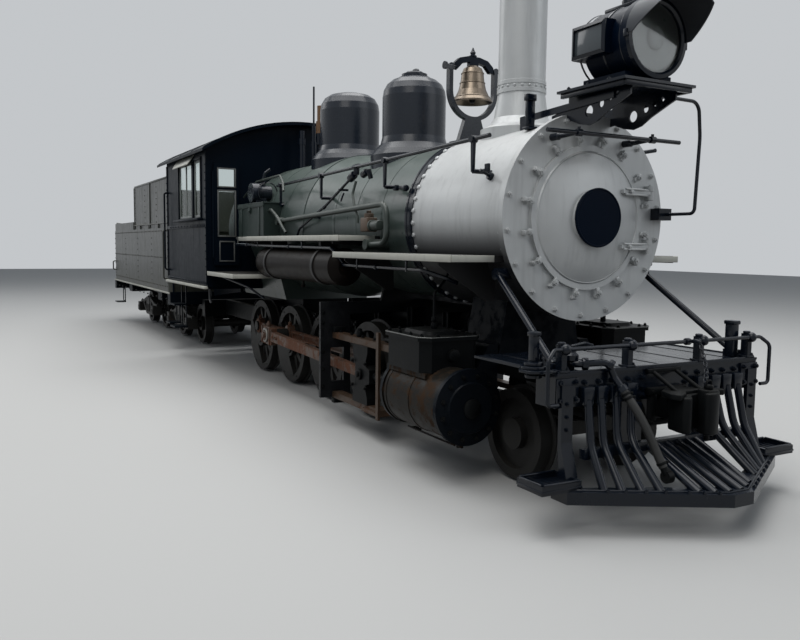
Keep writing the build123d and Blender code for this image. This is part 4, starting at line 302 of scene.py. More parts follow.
def weathered(name, paint, smooth, rough, rusting, dusting, streaking, metallic=0.0, bump=0.15,
              rust=(0.12, 0.055, 0.03), dust=(0.085, 0.078, 0.064), coat=0.0, gloss=0.5):
    """A painted or bare metal finish built on the weathering group."""
    material = bpy.data.materials.new(name)
    material.use_nodes = True
    tree = material.node_tree
    shader = tree.nodes["Principled BSDF"]
    group = tree.nodes.new("ShaderNodeGroup")
    group.node_tree = weathering
    group_values = {
        "Paint": (*paint, 1), "Rust": (*rust, 1), "Dust": (*dust, 1), "Rusting": rusting, "Dusting": dusting,
        "Streaking": streaking, "Smooth": smooth, "Rough": rough,
    }
    for key, value in group_values.items():
        group.inputs[key].default_value = value
    tree.links.new(group.outputs["Colour"], shader.inputs["Base Color"])
    tree.links.new(group.outputs["Roughness"], shader.inputs["Roughness"])
    shader.inputs["Metallic"].default_value = metallic
    shader.inputs["Coat Weight"].default_value = coat
    shader.inputs["Specular IOR Level"].default_value = gloss
    relief = tree.nodes.new("ShaderNodeBump")
    relief.inputs["Strength"].default_value = bump
    relief.inputs["Distance"].default_value = 0.004
    tree.links.new(group.outputs["Height"], relief.inputs["Height"])
    tree.links.new(relief.outputs["Normal"], shader.inputs["Normal"])
    return material


finishes = {
    "smokebox_silver": weathered(
        "silver_paint", (0.56, 0.575, 0.575), 0.4, 0.7, 0.14, 0.2, 0.5, 0.25, 0.28, rust=(0.17, 0.13, 0.10),
        dust=(0.24, 0.22, 0.19),
    ),
    "jacket_green": weathered(
        "sage_green_jacket", (0.062, 0.086, 0.078), 0.3, 0.6, 0.03, 0.25, 0.6, 0.0, 0.06,
        dust=(0.26, 0.29, 0.26),
    ),
    "dome_black": weathered("satin_black", (0.012, 0.017, 0.026), 0.26, 0.6, 0.02, 0.08, 0.2, gloss=0.38),
    "gloss_black": weathered(
        "gloss_blue_black", (0.0025, 0.006, 0.013), 0.22, 0.6, 0.02, 0.05, 0.3, coat=0.1, gloss=0.26,
    ),
    "cab_black": weathered(
        "dusty_black", (0.002, 0.005, 0.010), 0.34, 0.75, 0.04, 0.12, 0.4, dust=(0.050, 0.050, 0.038),
        gloss=0.05,
    ),
    "frame_black": weathered(
        "oily_black_casting", (0.003, 0.004, 0.005), 0.4, 0.85, 0.08, 0.08, 0.2, bump=0.3, gloss=0.08,
    ),
    "board_dark": weathered(
        "dark_walkway", (0.014, 0.014, 0.015), 0.5, 0.85, 0.1, 0.3, 0.2, bump=0.3, gloss=0.3,
    ),
    "rod_rust": weathered(
        "rusted_steel_rod", (0.075, 0.043, 0.028), 0.4, 0.85, 0.6, 0.2, 0.3, 0.3, 0.3,
        rust=(0.115, 0.040, 0.017),
    ),
    "cylinder_rust": weathered(
        "rusty_black_jacket", (0.007, 0.006, 0.005), 0.36, 0.8, 0.5, 0.12, 0.6, bump=0.25,
        rust=(0.042, 0.022, 0.011), gloss=0.08,
    ),
    "wheel_black": weathered(
        "dusty_wheel", (0.010, 0.010, 0.010), 0.5, 0.85, 0.15, 0.16, 0.2, bump=0.3, gloss=0.25,
    ),
    "reservoir_brown": weathered(
        "brown_tank", (0.010, 0.008, 0.007), 0.34, 0.7, 0.3, 0.06, 0.3, rust=(0.034, 0.022, 0.014),
        gloss=0.05,
    ),
    "box_green": weathered("grey_green_box", (0.024, 0.038, 0.034), 0.4, 0.75, 0.05, 0.10, 0.4, gloss=0.3),
    "bell_brass": weathered(
        "dull_brass", (0.215, 0.175, 0.135), 0.3, 0.6, 0.25, 0.2, 0.5, 0.9, 0.12, rust=(0.10, 0.065, 0.04),
    ),
    "pipe_metal": weathered("painted_pipe", (0.045, 0.060, 0.052), 0.38, 0.75, 0.12, 0.25, 0.4),
    "hose_rubber": weathered("hose_rubber_black", (0.010, 0.011, 0.012), 0.5, 0.85, 0.0, 0.25, 0.2),
    "truck_black": weathered(
        "dusty_truck_casting", (0.010, 0.010, 0.010), 0.5, 0.85, 0.2, 0.25, 0.2, bump=0.35, gloss=0.35,
    ),
}
slot_of = {row["node"]: row["material_slot"] for row in frame["record"]["subparts"]}
for node_name, node_object in frame["nodes"].items():
    for place in node_object.material_slots:
        place.material = finishes[slot_of[node_name]]
board_white = weathered("cream_board_edge", (0.56, 0.56, 0.50), 0.5, 0.8, 0.12, 0.2, 0.5)


def two_tone(node_name, name, base, colour, *groups):
    """Give a node base's finish, with another colour where a place passes all tests of a group."""
    material = base.copy()
    material.name = name
    tree = material.node_tree
    coords = tree.nodes.new("ShaderNodeTexCoord")
    split = tree.nodes.new("ShaderNodeSeparateXYZ")
    tree.links.new(coords.outputs["Object"], split.inputs["Vector"])
    mask = 0.0
    for tests in groups:
        inside = 1.0
        for axis, operation, edge in tests:
            inside = math_node(
                tree, "MULTIPLY", math_node(tree, operation, split.outputs[axis], edge), inside,
            )
        mask = math_node(tree, "MAXIMUM", inside, mask)
    mixed = mix_node(tree, mask, tree.nodes["Group"].outputs["Colour"], (*colour, 1))
    tree.links.new(mixed, tree.nodes["Principled BSDF"].inputs["Base Color"])
    for place in frame["nodes"][node_name].material_slots:
        place.material = material
    return material


def repaint(node_name, material):
    """Give every slot of a node this finish."""
    for place in frame["nodes"][node_name].material_slots:
        place.material = material


def clear_glass(name, colour, rough, ior):
    """A glass finish."""
    material = bpy.data.materials.new(name)
    material.use_nodes = True
    inputs = material.node_tree.nodes["Principled BSDF"].inputs
    inputs["Base Color"].default_value = (*colour, 1)
    inputs["Roughness"].default_value = rough
    inputs["Transmission Weight"].default_value = 1.0
    inputs["IOR"].default_value = ior
    return material


two_tone("whistle_and_valves", "black_with_brass_whistle", finishes["gloss_black"], (0.17, 0.095, 0.05),
         [("X", "GREATER_THAN", 1.13), ("X", "LESS_THAN", 1.27), ("Z", "GREATER_THAN", 3.17)])
two_tone(
    "bell", "brass_with_black_yoke", finishes["bell_brass"], (0.006, 0.008, 0.012),
    [("Z", "GREATER_THAN", RAIL + 3.305)], [("Y", "GREATER_THAN", 0.135), ("Z", "GREATER_THAN", RAIL + 3.15)],
    [("Y", "LESS_THAN", -0.135), ("Z", "GREATER_THAN", RAIL + 3.15)],
)
plate_black = weathered("deep_black_enamel", (0.001, 0.005, 0.014), 0.34, 0.6, 0.0, 0.02, 0.1, gloss=0.05)
two_tone("headlight", "black_with_brown_visor", plate_black, (0.075, 0.080, 0.088),
         [("X", "GREATER_THAN", FRONT + 0.632)])
two_tone(
    "cylinders_and_saddle", "rusty_jacket_black_casting", finishes["cylinder_rust"], (0.004, 0.006, 0.009),
    [("X", "GREATER_THAN", FRONT - 0.172)], [("X", "LESS_THAN", FRONT - 0.963)],
    [("Y", "GREATER_THAN", -0.62), ("Y", "LESS_THAN", 0.62)],
)
tank_finish = weathered("dusty_satin_tank", (0.028, 0.031, 0.027), 0.3, 0.62, 0.06, 0.6, 0.9,
                        dust=(0.19, 0.18, 0.125), gloss=0.35)
repaint("tender_tank", tank_finish)
repaint("crossheads", finishes["frame_black"])
repaint("steam_chests", finishes["frame_black"])

# Painted shade: the smokebox's downward-facing underside darkened towards black
underside_shade_paint = finishes["smokebox_silver"].copy()
underside_shade_paint.name = "silver_paint_painted_shade_below"
underside_shade_tree = underside_shade_paint.node_tree
underside_shade_coords = underside_shade_tree.nodes.new("ShaderNodeTexCoord")
underside_shade_split = underside_shade_tree.nodes.new("ShaderNodeSeparateXYZ")
underside_shade_tree.links.new(underside_shade_coords.outputs["Normal"], underside_shade_split.inputs["Vector"])
# Painted shade, strongest on faces that point down and fading on faces that point ahead
underside_shade_low = math_node(underside_shade_tree, "MULTIPLY_ADD", underside_shade_split.outputs["Z"], -2.6, 0.0, clamp=True)
underside_shade_side = math_node(underside_shade_tree, "SUBTRACT", 1.0, math_node(underside_shade_tree, "ABSOLUTE", underside_shade_split.outputs["X"]))
painted_shade_mask = math_node(underside_shade_tree, "MULTIPLY", underside_shade_low, underside_shade_side)
painted_shade_mixed = mix_node(
    underside_shade_tree, painted_shade_mask, underside_shade_tree.nodes["Group"].outputs["Colour"], (0.016, 0.017, 0.019, 1),
)
underside_shade_tree.links.new(painted_shade_mixed, underside_shade_tree.nodes["Principled BSDF"].inputs["Base Color"])
repaint("smokebox", underside_shade_paint)

# Modelling helpers
BEND_STEPS = 6
SMOOTH_DEG = 35


def only(obj):
    """Leave edit mode and select this object alone."""
    if bpy.context.object and bpy.context.object.mode != "OBJECT":
        bpy.ops.object.mode_set(mode="OBJECT")
    bpy.ops.object.select_all(action="DESELECT")
    obj.select_set(True)
    bpy.context.view_layer.objects.active = obj


def open_mesh(obj, kind="FACE"):
    """Open an object in edit mode with nothing selected."""
    only(obj)
    bpy.ops.object.mode_set(mode="EDIT")
    bpy.ops.mesh.select_mode(type=kind)
    bpy.ops.mesh.select_all(action="DESELECT")


def close_mesh():
    """Back to object mode."""
    bpy.ops.object.mode_set(mode="OBJECT")


def pick_faces(obj, test):
    """Select the faces whose middle and normal pass the test."""
    mesh = bmesh.from_edit_mesh(obj.data)
    for face in mesh.faces:
        face.select_set(test(face.calc_center_median(), face.normal))
    bmesh.update_edit_mesh(obj.data)


def modify(obj, kind, **values):
    """Add a modifier with these values and apply it."""
    only(obj)
    modifier = obj.modifiers.new(kind.lower(), kind)
    for key, value in values.items():
        setattr(modifier, key, value)
    bpy.ops.object.modifier_apply(modifier=modifier.name)


def settle(obj):
    """Put an object's place, turn and size into its mesh."""
    only(obj)
    bpy.ops.object.transform_apply(location=True, rotation=True, scale=True)
    return obj


def joined(parts):
    """Make one object of several."""
    for part in parts:
        settle(part)
    only(parts[0])
    for part in parts:
        part.select_set(True)
    if len(parts) > 1:
        bpy.ops.object.join()
    return bpy.context.object


def block(size, place, edge=0.004, turn=(0.0, 0.0, 0.0)):
    """A bar or plate of this size, turned about its middle, with softened edges."""
    bpy.ops.object.select_all(action="DESELECT")
    bpy.ops.mesh.primitive_cube_add(size=1.0)
    obj = bpy.context.object
    obj.scale = size
    settle(obj)
    if edge:
        modify(obj, "BEVEL", width=min(edge, min(size) * 0.45), segments=2, limit_method="ANGLE")
    obj.rotation_euler = turn
    obj.location = place
    return settle(obj)


def drum(radius, length, place, way, edge=0.003, sides=24):
    """A short round bar along way, its middle at place, with softened rims."""
    bpy.ops.object.select_all(action="DESELECT")
    bpy.ops.mesh.primitive_cylinder_add(vertices=sides, radius=radius, depth=length)
    obj = bpy.context.object
    if edge:
        modify(obj, "BEVEL", width=min(edge, radius * 0.4, length * 0.4), segments=2, limit_method="ANGLE")
    obj.matrix_world = aim(place, way)
    return settle(obj)


def aim(place, way, roll=0.0):
    """The matrix that moves a model at the origin, pointing up, to place and points it along way."""
    turn = Vector(way).to_track_quat("Z", "Y").to_matrix().to_4x4()
    return Matrix.Translation(place) @ turn @ Matrix.Rotation(roll, 4, "Z")


def copies(model, matrices):
    """Copies of a model at these matrices joined into one object; the model itself goes."""
    parts = []
    for matrix in matrices:
        part = model.copy()
        part.data = model.data.copy()
        scene.collection.objects.link(part)
        part.matrix_world = matrix
        parts.append(part)
    bpy.data.objects.remove(model)
    bpy.context.view_layer.update()
    return joined(parts)


def bent(points, bend):
    """A run of points with each corner rounded by the radius bend."""
    spots = [Vector(p) for p in points]
    if not bend:
        return spots
    path = [spots[0]]
    for before, corner, after in zip(spots, spots[1:], spots[2:]):
        way_in = (corner - before).normalized()
        way_out = (after - corner).normalized()
        half = way_in.angle(way_out) / 2
        if half < 0.02:
            path.append(corner)
            continue
        room = 0.49 * min((corner - before).length, (after - corner).length)
        back = min(bend * math.tan(half), room)
        radius = back / math.tan(half)
        middle = corner + (way_out - way_in).normalized() * (radius / math.cos(half))
        start = corner - way_in * back - middle
        axis = way_in.cross(way_out).normalized()
        for step in range(BEND_STEPS + 1):
            path.append(middle + Matrix.Rotation(2 * half * step / BEND_STEPS, 3, axis) @ start)
    path.append(spots[-1])
    return path


def tube(points, radius, bend=0.0, sides=3):
    """A round bar or pipe along straight runs joined by bends."""
    curve = bpy.data.curves.new("run", "CURVE")
    curve.dimensions = "3D"
    curve.bevel_depth = radius
    curve.bevel_resolution = sides
    curve.use_fill_caps = True
    path = bent(points, bend)
    line = curve.splines.new("POLY")
    line.points.add(len(path) - 1)
    for spot, place in zip(line.points, path):
        spot.co = (*place, 1.0)
    obj = bpy.data.objects.new("run", curve)
    scene.collection.objects.link(obj)
    only(obj)
    bpy.ops.object.convert(target="MESH")
    return bpy.context.object


def lathe(outline, centre, way="X", steps=40):
    """A turned shape: the outline, as (radius, distance along), spun about the axis through centre."""
    along, out = {"X": (AHEAD, UP), "Y": (ACROSS, UP), "Z": (UP, AHEAD)}[way]
    along = Vector(along)
    out = Vector(out)
    centre = Vector(centre)
    spots = [centre + out * r + along * a for r, a in outline]
    bpy.ops.object.select_all(action="DESELECT")
    bpy.ops.mesh.primitive_plane_add(size=0.01, location=spots[0])
    obj = settle(bpy.context.object)
    open_mesh(obj, "VERT")
    bpy.ops.mesh.select_all(action="SELECT")
    bpy.ops.mesh.merge(type="CENTER")
    for before, after in zip(spots, spots[1:]):
        bpy.ops.mesh.extrude_region_move(TRANSFORM_OT_translate={"value": after - before})
    bpy.ops.mesh.select_all(action="SELECT")
    bpy.ops.mesh.spin(steps=steps, angle=2 * math.pi, center=centre, axis=along)
    bpy.ops.mesh.select_all(action="SELECT")
    bpy.ops.mesh.remove_doubles(threshold=0.0002)
    bpy.ops.mesh.normals_make_consistent(inside=False)
    close_mesh()
    return obj


def ring(inner, outer, wide, narrow, centre, way="X", steps=40):
    """A turned band, half as wide as wide at its inner radius and as narrow at its outer one."""
    return lathe([(inner, -wide), (outer, -narrow), (outer, narrow), (inner, wide)], centre, way, steps)


def dress(parts, name, body, slot, finish=None):
    """Name a finished piece, or several as one, give it its finish and let it ride on its body."""
    obj = settle(joined(parts) if isinstance(parts, list) else parts)
    obj.name = name
    obj.data.name = name
    bpy.ops.object.shade_smooth_by_angle(angle=math.radians(SMOOTH_DEG))
    obj.data.materials.clear()
    obj.data.materials.append(finish or finishes[slot])
    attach(obj, body)
    return obj


def nut_model(radius):
    """A hexagon nut on its washer, with the stud's end standing out, at the origin."""
    bpy.ops.object.select_all(action="DESELECT")
    bpy.ops.mesh.primitive_cylinder_add(
        vertices=6, radius=radius, depth=radius, location=(0, 0, radius * 0.65),
    )
    obj = settle(bpy.context.object)
    open_mesh(obj)
    pick_faces(obj, lambda middle, normal: normal.z > 0.9)
    bpy.ops.mesh.inset(thickness=radius * 0.42)
    bpy.ops.mesh.extrude_region_move(TRANSFORM_OT_translate={"value": (0, 0, radius * 0.5)})
    pick_faces(obj, lambda middle, normal: normal.z < -0.9)
    bpy.ops.mesh.extrude_region_move()
    bpy.ops.transform.resize(value=(1.35, 1.35, 1.0))
    bpy.ops.mesh.extrude_region_move(TRANSFORM_OT_translate={"value": (0, 0, -radius * 0.2)})
    close_mesh()
    return obj


def rivet_model(radius):
    """A round rivet head at the origin."""
    bpy.ops.object.select_all(action="DESELECT")
    bpy.ops.mesh.primitive_cylinder_add(
        vertices=8, radius=radius, depth=radius * 0.4, location=(0, 0, radius * 0.15),
    )
    obj = settle(bpy.context.object)
    open_mesh(obj)
    pick_faces(obj, lambda middle, normal: normal.z > 0.9)
    bpy.ops.mesh.extrude_region_move(TRANSFORM_OT_translate={"value": (0, 0, radius * 0.32)})
    bpy.ops.transform.resize(value=(0.62, 0.62, 1.0))
    close_mesh()
    return obj


def nut_at(radius, place):
    """One upright nut."""
    obj = nut_model(radius)
    obj.location = place
    return obj


def rivets(radius, rows):
    """Rivet heads at each (place, way) of rows, as one object."""
    return copies(rivet_model(radius), [aim(place, way) for place, way in rows])


def prism(spots, push, edge):
    """A plate whose outline is these points, thickened by push, with softened edges."""
    spots = [Vector(spot) for spot in spots]
    bpy.ops.object.select_all(action="DESELECT")
    bpy.ops.mesh.primitive_plane_add(size=0.01, location=spots[0])
    obj = settle(bpy.context.object)
    open_mesh(obj, "VERT")
    bpy.ops.mesh.select_all(action="SELECT")
    bpy.ops.mesh.merge(type="CENTER")
    for before, after in zip(spots, spots[1:] + spots[:1]):
        bpy.ops.mesh.extrude_region_move(TRANSFORM_OT_translate={"value": after - before})
    bpy.ops.mesh.select_all(action="SELECT")
    bpy.ops.mesh.remove_doubles(threshold=0.0002)
    bpy.ops.mesh.edge_face_add()
    bpy.ops.mesh.extrude_region_move(TRANSFORM_OT_translate={"value": push})
    bpy.ops.mesh.select_all(action="SELECT")
    bpy.ops.mesh.normals_make_consistent(inside=False)
    close_mesh()
    if edge:
        modify(obj, "BEVEL", width=edge, segments=2, limit_method="ANGLE")
    return obj


def nuts(radius, rows):
    """Nuts at each (place, way) of rows, as one object."""
    return copies(nut_model(radius), [aim(place, way, sum(place)) for place, way in rows])


def side_grab(x, near, far, low, high, radius):
    """An upright grab iron on a side wall, standing off from y near to y far."""
    spots = [(x, y, z) for y, z in ((near, low), (far, low), (far, high), (near, high))]
    return tube(spots, radius, 0.03)


def pipe(places, radius, bend=0.0):
    """A pipe through places that are measured as at() does."""
    return tube([at(*place) for place in places], radius, bend)


def around(count, radius, x, start_deg=0.0):
    """Places and outward ways round the boiler at x."""
    rows = []
    for k in range(count):
        turn = math.radians(start_deg + 360 * k / count)
        way = Vector((0, math.cos(turn), math.sin(turn)))
        rows.append((Vector((x, 0, BOILER_Z)) + way * radius, way))
    return rows


# Smokebox front: studs round the ring, clamps round the door, rivets round the shell
ring_studs = copies(
    nut_model(0.019), [aim(place, AHEAD, place.y) for place, _ in around(18, 0.722, FRONT_FACE, 8)],
)
dress(ring_studs, "ring_studs", "engine", "smokebox_silver")


def clamp_model():
    """A door clamp pointing in along +X of the model: a cranked finger, its stud and nut."""
    finger = block((0.082, 0.03, 0.018), (0.03, 0, 0.032), 0.005)
    heel = block((0.026, 0.034, 0.034), (0.062, 0, 0.015), 0.005)
    return joined([finger, heel, nut_at(0.021, (0.03, 0, 0.04))])


clamp_places = []
for place, way in around(16, 0.536, FRONT_FACE, 11.25):
    turn = Matrix((way, Vector(AHEAD).cross(way), Vector(AHEAD))).transposed().to_4x4()
    clamp_places.append(Matrix.Translation(place) @ turn)
dress(copies(clamp_model(), clamp_places), "door_clamps", "engine", "smokebox_silver")

shell_rivets = rivets(0.014, around(38, SMOKEBOX_R, FRONT - 0.085))
dress(shell_rivets, "smokebox_rivets", "engine", "smokebox_silver")

plate_x = FRONT + 0.1503
plate_outline = [
    (0.0, -0.012), (0.214, -0.012), (0.216, 0.002), (0.212, 0.008), (0.203, 0.008), (0.199, 0.004),
    (0.0, 0.004),
]
number_plate = lathe(plate_outline, (plate_x, 0, BOILER_Z), steps=64)
dress(number_plate, "blank_number_plate", "smokebox_door", "gloss_black", plate_black)

door_rim = lathe([(0.470, 0.0), (0.478, 0.010), (0.490, 0.0)], (FRONT_FACE + 0.025, 0, BOILER_Z), steps=64)
dress(door_rim, "door_seam", "smokebox_door", "smokebox_silver")

strap_parts = []
for strap_z in (BOILER_Z - 0.205, BOILER_Z + 0.205):
    for offset in (-0.02, 0.02):
        strap_parts.append(tube(
            [
                (FRONT + 0.060, 0.585, strap_z + offset),
                (FRONT + 0.100, 0.470, strap_z + offset),
                (FRONT + 0.116, 0.290, strap_z + offset),
            ],
            0.008, 0.2, 2,
        ))
    strap_parts.append(drum(0.014, 0.05, (FRONT + 0.110, 0.345, strap_z), AHEAD))
dress(strap_parts, "hinge_strap_bars", "smokebox_door", "smokebox_silver")

# Valve handle on the smokebox side
valve_parts = [
    drum(0.03, 0.05, (FRONT - 0.27, -0.66, BOILER_Z + 0.29), (0, -0.92, 0.4)),
    tube([(FRONT - 0.27, -0.66, BOILER_Z + 0.29), (FRONT - 0.27, -0.76, BOILER_Z + 0.335)], 0.012),
    tube([(FRONT - 0.36, -0.745, BOILER_Z + 0.33), (FRONT - 0.20, -0.745, BOILER_Z + 0.33)], 0.011),
    block((0.05, 0.02, 0.06), (FRONT - 0.20, -0.745, BOILER_Z + 0.345)),
]
dress(valve_parts, "blower_valve", "engine", "gloss_black")

# Headlight: glass and its ring, reflector, case bands, vent, and the blank panels in their frames
LAMP_Z = RAIL + 3.078
LAMP_FRONT = FRONT + 0.618


def by_lamp(x, y, z):
    """A place from the smokebox front and the middle of the lamp."""
    return (FRONT + x, y, LAMP_Z + z)


glass = lathe(
    [(0.0, 0.0), (0.235, 0.0), (0.235, -0.006), (0.0, -0.006)], (LAMP_FRONT + 0.012, 0, LAMP_Z), steps=48,
)
lamp_glass = clear_glass("lamp_glass", (0.85, 0.88, 0.88), 0.06, 1.45)
dress(glass, "lamp_glass", "engine", "gloss_black", lamp_glass)
bezel_outline = [(0.222, 0.004), (0.222, 0.03), (0.236, 0.042), (0.262, 0.038), (0.268, 0.02), (0.268, 0.004)]
bezel = lathe(bezel_outline + bezel_outline[:1], (LAMP_FRONT, 0, LAMP_Z), steps=56)
hinge = drum(0.012, 0.09, (LAMP_FRONT + 0.02, 0.272, LAMP_Z), UP)
catch = block((0.03, 0.02, 0.05), (LAMP_FRONT + 0.02, -0.272, LAMP_Z))
dress([bezel, hinge, catch], "lamp_bezel", "engine", "gloss_black")
reflector = lathe(
    [(0.0, 0.002), (0.06, 0.002), (0.07, 0.006), (0.10, 0.003), (0.225, 0.006), (0.225, 0.001), (0.0, 0.001)],
    (LAMP_FRONT + 0.0005, 0, LAMP_Z), steps=48,
)
dull_mirror = weathered(
    "dull_reflector", (0.085, 0.088, 0.085), 0.3, 0.6, 0.2, 0.2, 0.2, 0.5, rust=(0.07, 0.05, 0.035),
)
dress(reflector, "lamp_reflector", "engine", "smokebox_silver", dull_mirror)

case_parts = []
for back in (0.175, 0.40, 0.565):
    case_parts.append(ring(0.253, 0.258, 0.009, 0.005, (FRONT + back, 0, LAMP_Z), steps=48))
case_parts += [
    block((0.36, 0.12, 0.03), by_lamp(0.38, 0, 0.262), 0.01),
    drum(0.05, 0.05, by_lamp(0.38, 0, 0.285), UP, 0.01),
    drum(0.018, 0.05, by_lamp(0.125, -0.10, 0.01), AHEAD, 0.006),
    drum(0.026, 0.02, by_lamp(0.10, -0.10, 0.01), AHEAD, 0.008),
]
dress(case_parts, "lamp_case_bands", "engine", "gloss_black")

panel_glass = weathered("grey_number_glass", (0.075, 0.09, 0.10), 0.12, 0.4, 0.0, 0.1, 0.15, bump=0.02)
for side, side_name in SIDE_NAME.items():
    frame_board = block((0.325, 0.02, 0.22), by_lamp(0.325, side * 0.302, 0.015), 0.004)
    open_mesh(frame_board)
    pick_faces(frame_board, lambda middle, normal: normal.y * side > 0.9)
    bpy.ops.mesh.inset(thickness=0.024)
    bpy.ops.mesh.extrude_region_move(TRANSFORM_OT_translate={"value": (0, -side * 0.010, 0)})
    close_mesh()
    dress(frame_board, f"number_frame_{side_name}", "engine", "gloss_black")
    panel = block((0.268, 0.004, 0.163), by_lamp(0.325, side * 0.3045, 0.015), 0.001)
    dress(panel, f"blank_number_glass_{side_name}", "engine", "gloss_black", panel_glass)

# Lamp shelf: edge angles and bolts
shelf_parts = []
for side in SIDES:
    shelf_parts.append(block((0.62, 0.03, 0.035), at(0.36, side * 0.29, 2.762), 0.004))
    for back in (0.12, 0.32, 0.52):
        shelf_parts.append(nut_at(0.013, at(back, side * 0.29, 2.797)))
shelf_parts.append(block((0.03, 0.60, 0.035), at(0.675, 0, 2.762), 0.004))
dress(shelf_parts, "lamp_shelf_angles", "engine", "gloss_black")

# Short lamp post standing on the smokebox behind the front ring
post_parts = [
    block((0.035, 0.07, 0.26), at(-0.30, -0.30, 2.70), 0.006),
    block((0.09, 0.08, 0.02), at(-0.30, -0.30, 2.585), 0.005),
    block((0.05, 0.085, 0.05), at(-0.30, -0.30, 2.81), 0.006),
]
dress(post_parts, "lamp_post", "engine", "gloss_black")

# Smokestack: seam bands and rivets at its foot
STACK_X = FRONT - 0.81
stack_parts = []
for band_z, band_r in ((RAIL + 2.955, 0.196), (RAIL + 3.02, 0.194), (RAIL + 3.9, 0.194)):
    stack_parts.append(ring(band_r - 0.002, band_r + 0.005, 0.018, 0.014, (STACK_X, 0, band_z), "Z", 48))
stack_rivets = []
for k in range(20):
    turn = math.radians(18 * k)
    way = Vector((math.cos(turn), math.sin(turn), 0))
    stack_rivets.append((Vector((STACK_X, 0, RAIL + 2.987)) + way * 0.194, way))
stack_parts.append(rivets(0.011, stack_rivets))
dress(stack_parts, "stack_bands", "engine", "smokebox_silver")

# Boiler: jacket bands
BOILER_R = 0.70
BOILER_BIG_R = 0.80
JACKET_BAND = (0.032, 0.003)
band_rows = [(1.385, 0.03, 0.010)] + [
    (back, *JACKET_BAND) for back in (1.98, 2.52, 3.04, 3.66, 4.22, 4.78, 5.30)
]
band_parts = []
for back, half_width, thickness in band_rows:
    share = min(max((back - 3.05) / 0.6, 0), 1)
    radius = BOILER_R + (BOILER_BIG_R - BOILER_R) * share
    place = (FRONT - back, 0, BOILER_Z)
    band_parts.append(ring(radius - 0.002, radius + thickness, half_width, half_width, place, steps=72))
dress(band_parts, "jacket_bands", "engine", "jacket_green")

# Board edges in cream, with the angle under each
board_rows = [
    (FRONT - 2.13, FRONT - 0.10, RAIL + 1.632, 1.10, SIDES),
    (FRONT - 4.68, FRONT - 2.00, RAIL + 1.783, 1.10, (RIGHT,)),
    (FRONT - 4.68, FRONT - 3.25, RAIL + 1.783, 1.10, (LEFT,)),
    (FRONT - 5.33, FRONT - 4.68, RAIL + 1.783, 1.00, SIDES),
    (CAB_FRONT + 0.002, CAB_FRONT + 1.14, RAIL + 1.340, 1.34, SIDES),
]
edge_parts = []
nosing_parts = []
for board_rear, board_front, board_z, board_y, board_sides in board_rows:
    for side in board_sides:
        length = board_front - board_rear
        middle = (board_rear + board_front) / 2
        edge_parts += [
            block((length, 0.008, 0.052), (middle, side * (board_y + 0.003), board_z - 0.022), 0.003),
            block(
                (0.008, board_y - 0.74, 0.048),
                (board_front + 0.003, side * (board_y + 0.74) / 2, board_z - 0.022), 0.003,
            ),
        ]
        nosing_parts.append(block(
            (length - 0.02, 0.05, 0.006), (middle, side * (board_y - 0.06), board_z - 0.049), 0.0015,
        ))
dress(edge_parts, "board_edges", "engine", "board_dark", board_white)
dress(nosing_parts, "board_angles", "engine", "board_dark")

# Tread plates on the boards
tread_parts = []
for board_rear, board_front, board_z, board_y, board_sides in board_rows[:4]:
    for side in board_sides:
        length = board_front - board_rear - 0.04
        tread_parts.append(block(
            (length, 0.22, 0.006), ((board_rear + board_front) / 2, side * (board_y - 0.14), board_z + 0.002),
            0.002,
        ))
dress(tread_parts, "board_treads", "engine", "board_dark")

# Bell: mouldings, clapper and finial
BELL_X = FRONT - 1.54
BELL_Z = RAIL + 3.285
bell_rings = []
for ring_r, ring_z in ((0.1805, -0.292), (0.157, -0.255), (0.112, -0.130), (0.100, -0.045)):
    bell_rings.append(ring(
        ring_r - 0.004, ring_r + 0.004, 0.007, 0.003, (BELL_X, 0, BELL_Z + ring_z), "Z", 40,
    ))
dress(bell_rings, "bell_mouldings", "bell", "bell_brass")
clapper_parts = [
    tube([(BELL_X, 0, BELL_Z - 0.03), (BELL_X, 0, BELL_Z - 0.27)], 0.010),
    lathe(
        [(0.0, -0.03), (0.02, -0.026), (0.03, 0.0), (0.02, 0.026), (0.0, 0.03)], (BELL_X, 0, BELL_Z - 0.275),
        "Z", 16,
    ),
]
dress(clapper_parts, "bell_clapper", "bell", "frame_black")
finial = lathe(
    [
        (0.0, 0.0), (0.034, 0.0), (0.036, 0.012), (0.020, 0.024), (0.026, 0.040), (0.016, 0.056),
        (0.004, 0.085), (0.0, 0.087),
    ],
    (BELL_X, 0, BELL_Z + 0.099), "Z", 24,
)
dress(finial, "bell_finial", "bell", "gloss_black")

# Free brake hose between its nipple and its coupling, with a clamp at each end
HOSE = [
    (7.330, -0.455, 0.825), (7.366, -0.440, 0.777), (7.402, -0.415, 0.715), (7.440, -0.385, 0.635),
    (7.470, -0.352, 0.545), (7.496, -0.325, 0.455), (7.532, -0.303, 0.373),
]
hose_line = bpy.data.curves.new("brake_hose_line", "CURVE")
hose_line.dimensions = "3D"
hose_line.bevel_depth = 0.0275
hose_line.bevel_resolution = 6
hose_line.resolution_u = 16
hose_line.use_fill_caps = True
hose_run = hose_line.splines.new("NURBS")
hose_run.points.add(len(HOSE) - 1)
for spot, place in zip(hose_run.points, HOSE):
    spot.co = (*place, 1.0)
hose_run.order_u = 3
hose_run.use_endpoint_u = True
hose = bpy.data.objects.new("brake_hose_line", hose_line)
scene.collection.objects.link(hose)
hose_line.materials.append(finishes["hose_rubber"])
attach(hose, "engine")
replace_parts(hose, "brake_hose")
clamp_parts = []
for first, second, share in ((0, 1, 0.35), (0, 1, 0.8), (5, 6, 0.72)):
    way = Vector(HOSE[second]) - Vector(HOSE[first])
    middle = Vector(HOSE[first]) + way * share
    clamp_parts += [
        drum(0.0315, 0.018, middle, way, 0.003, 28),
        block((0.014, 0.022, 0.016), middle + Vector((0.02, 0.026, 0.012)), 0.003),
    ]
hose_clamps = dress(clamp_parts, "hose_clamps", "engine", "frame_black")

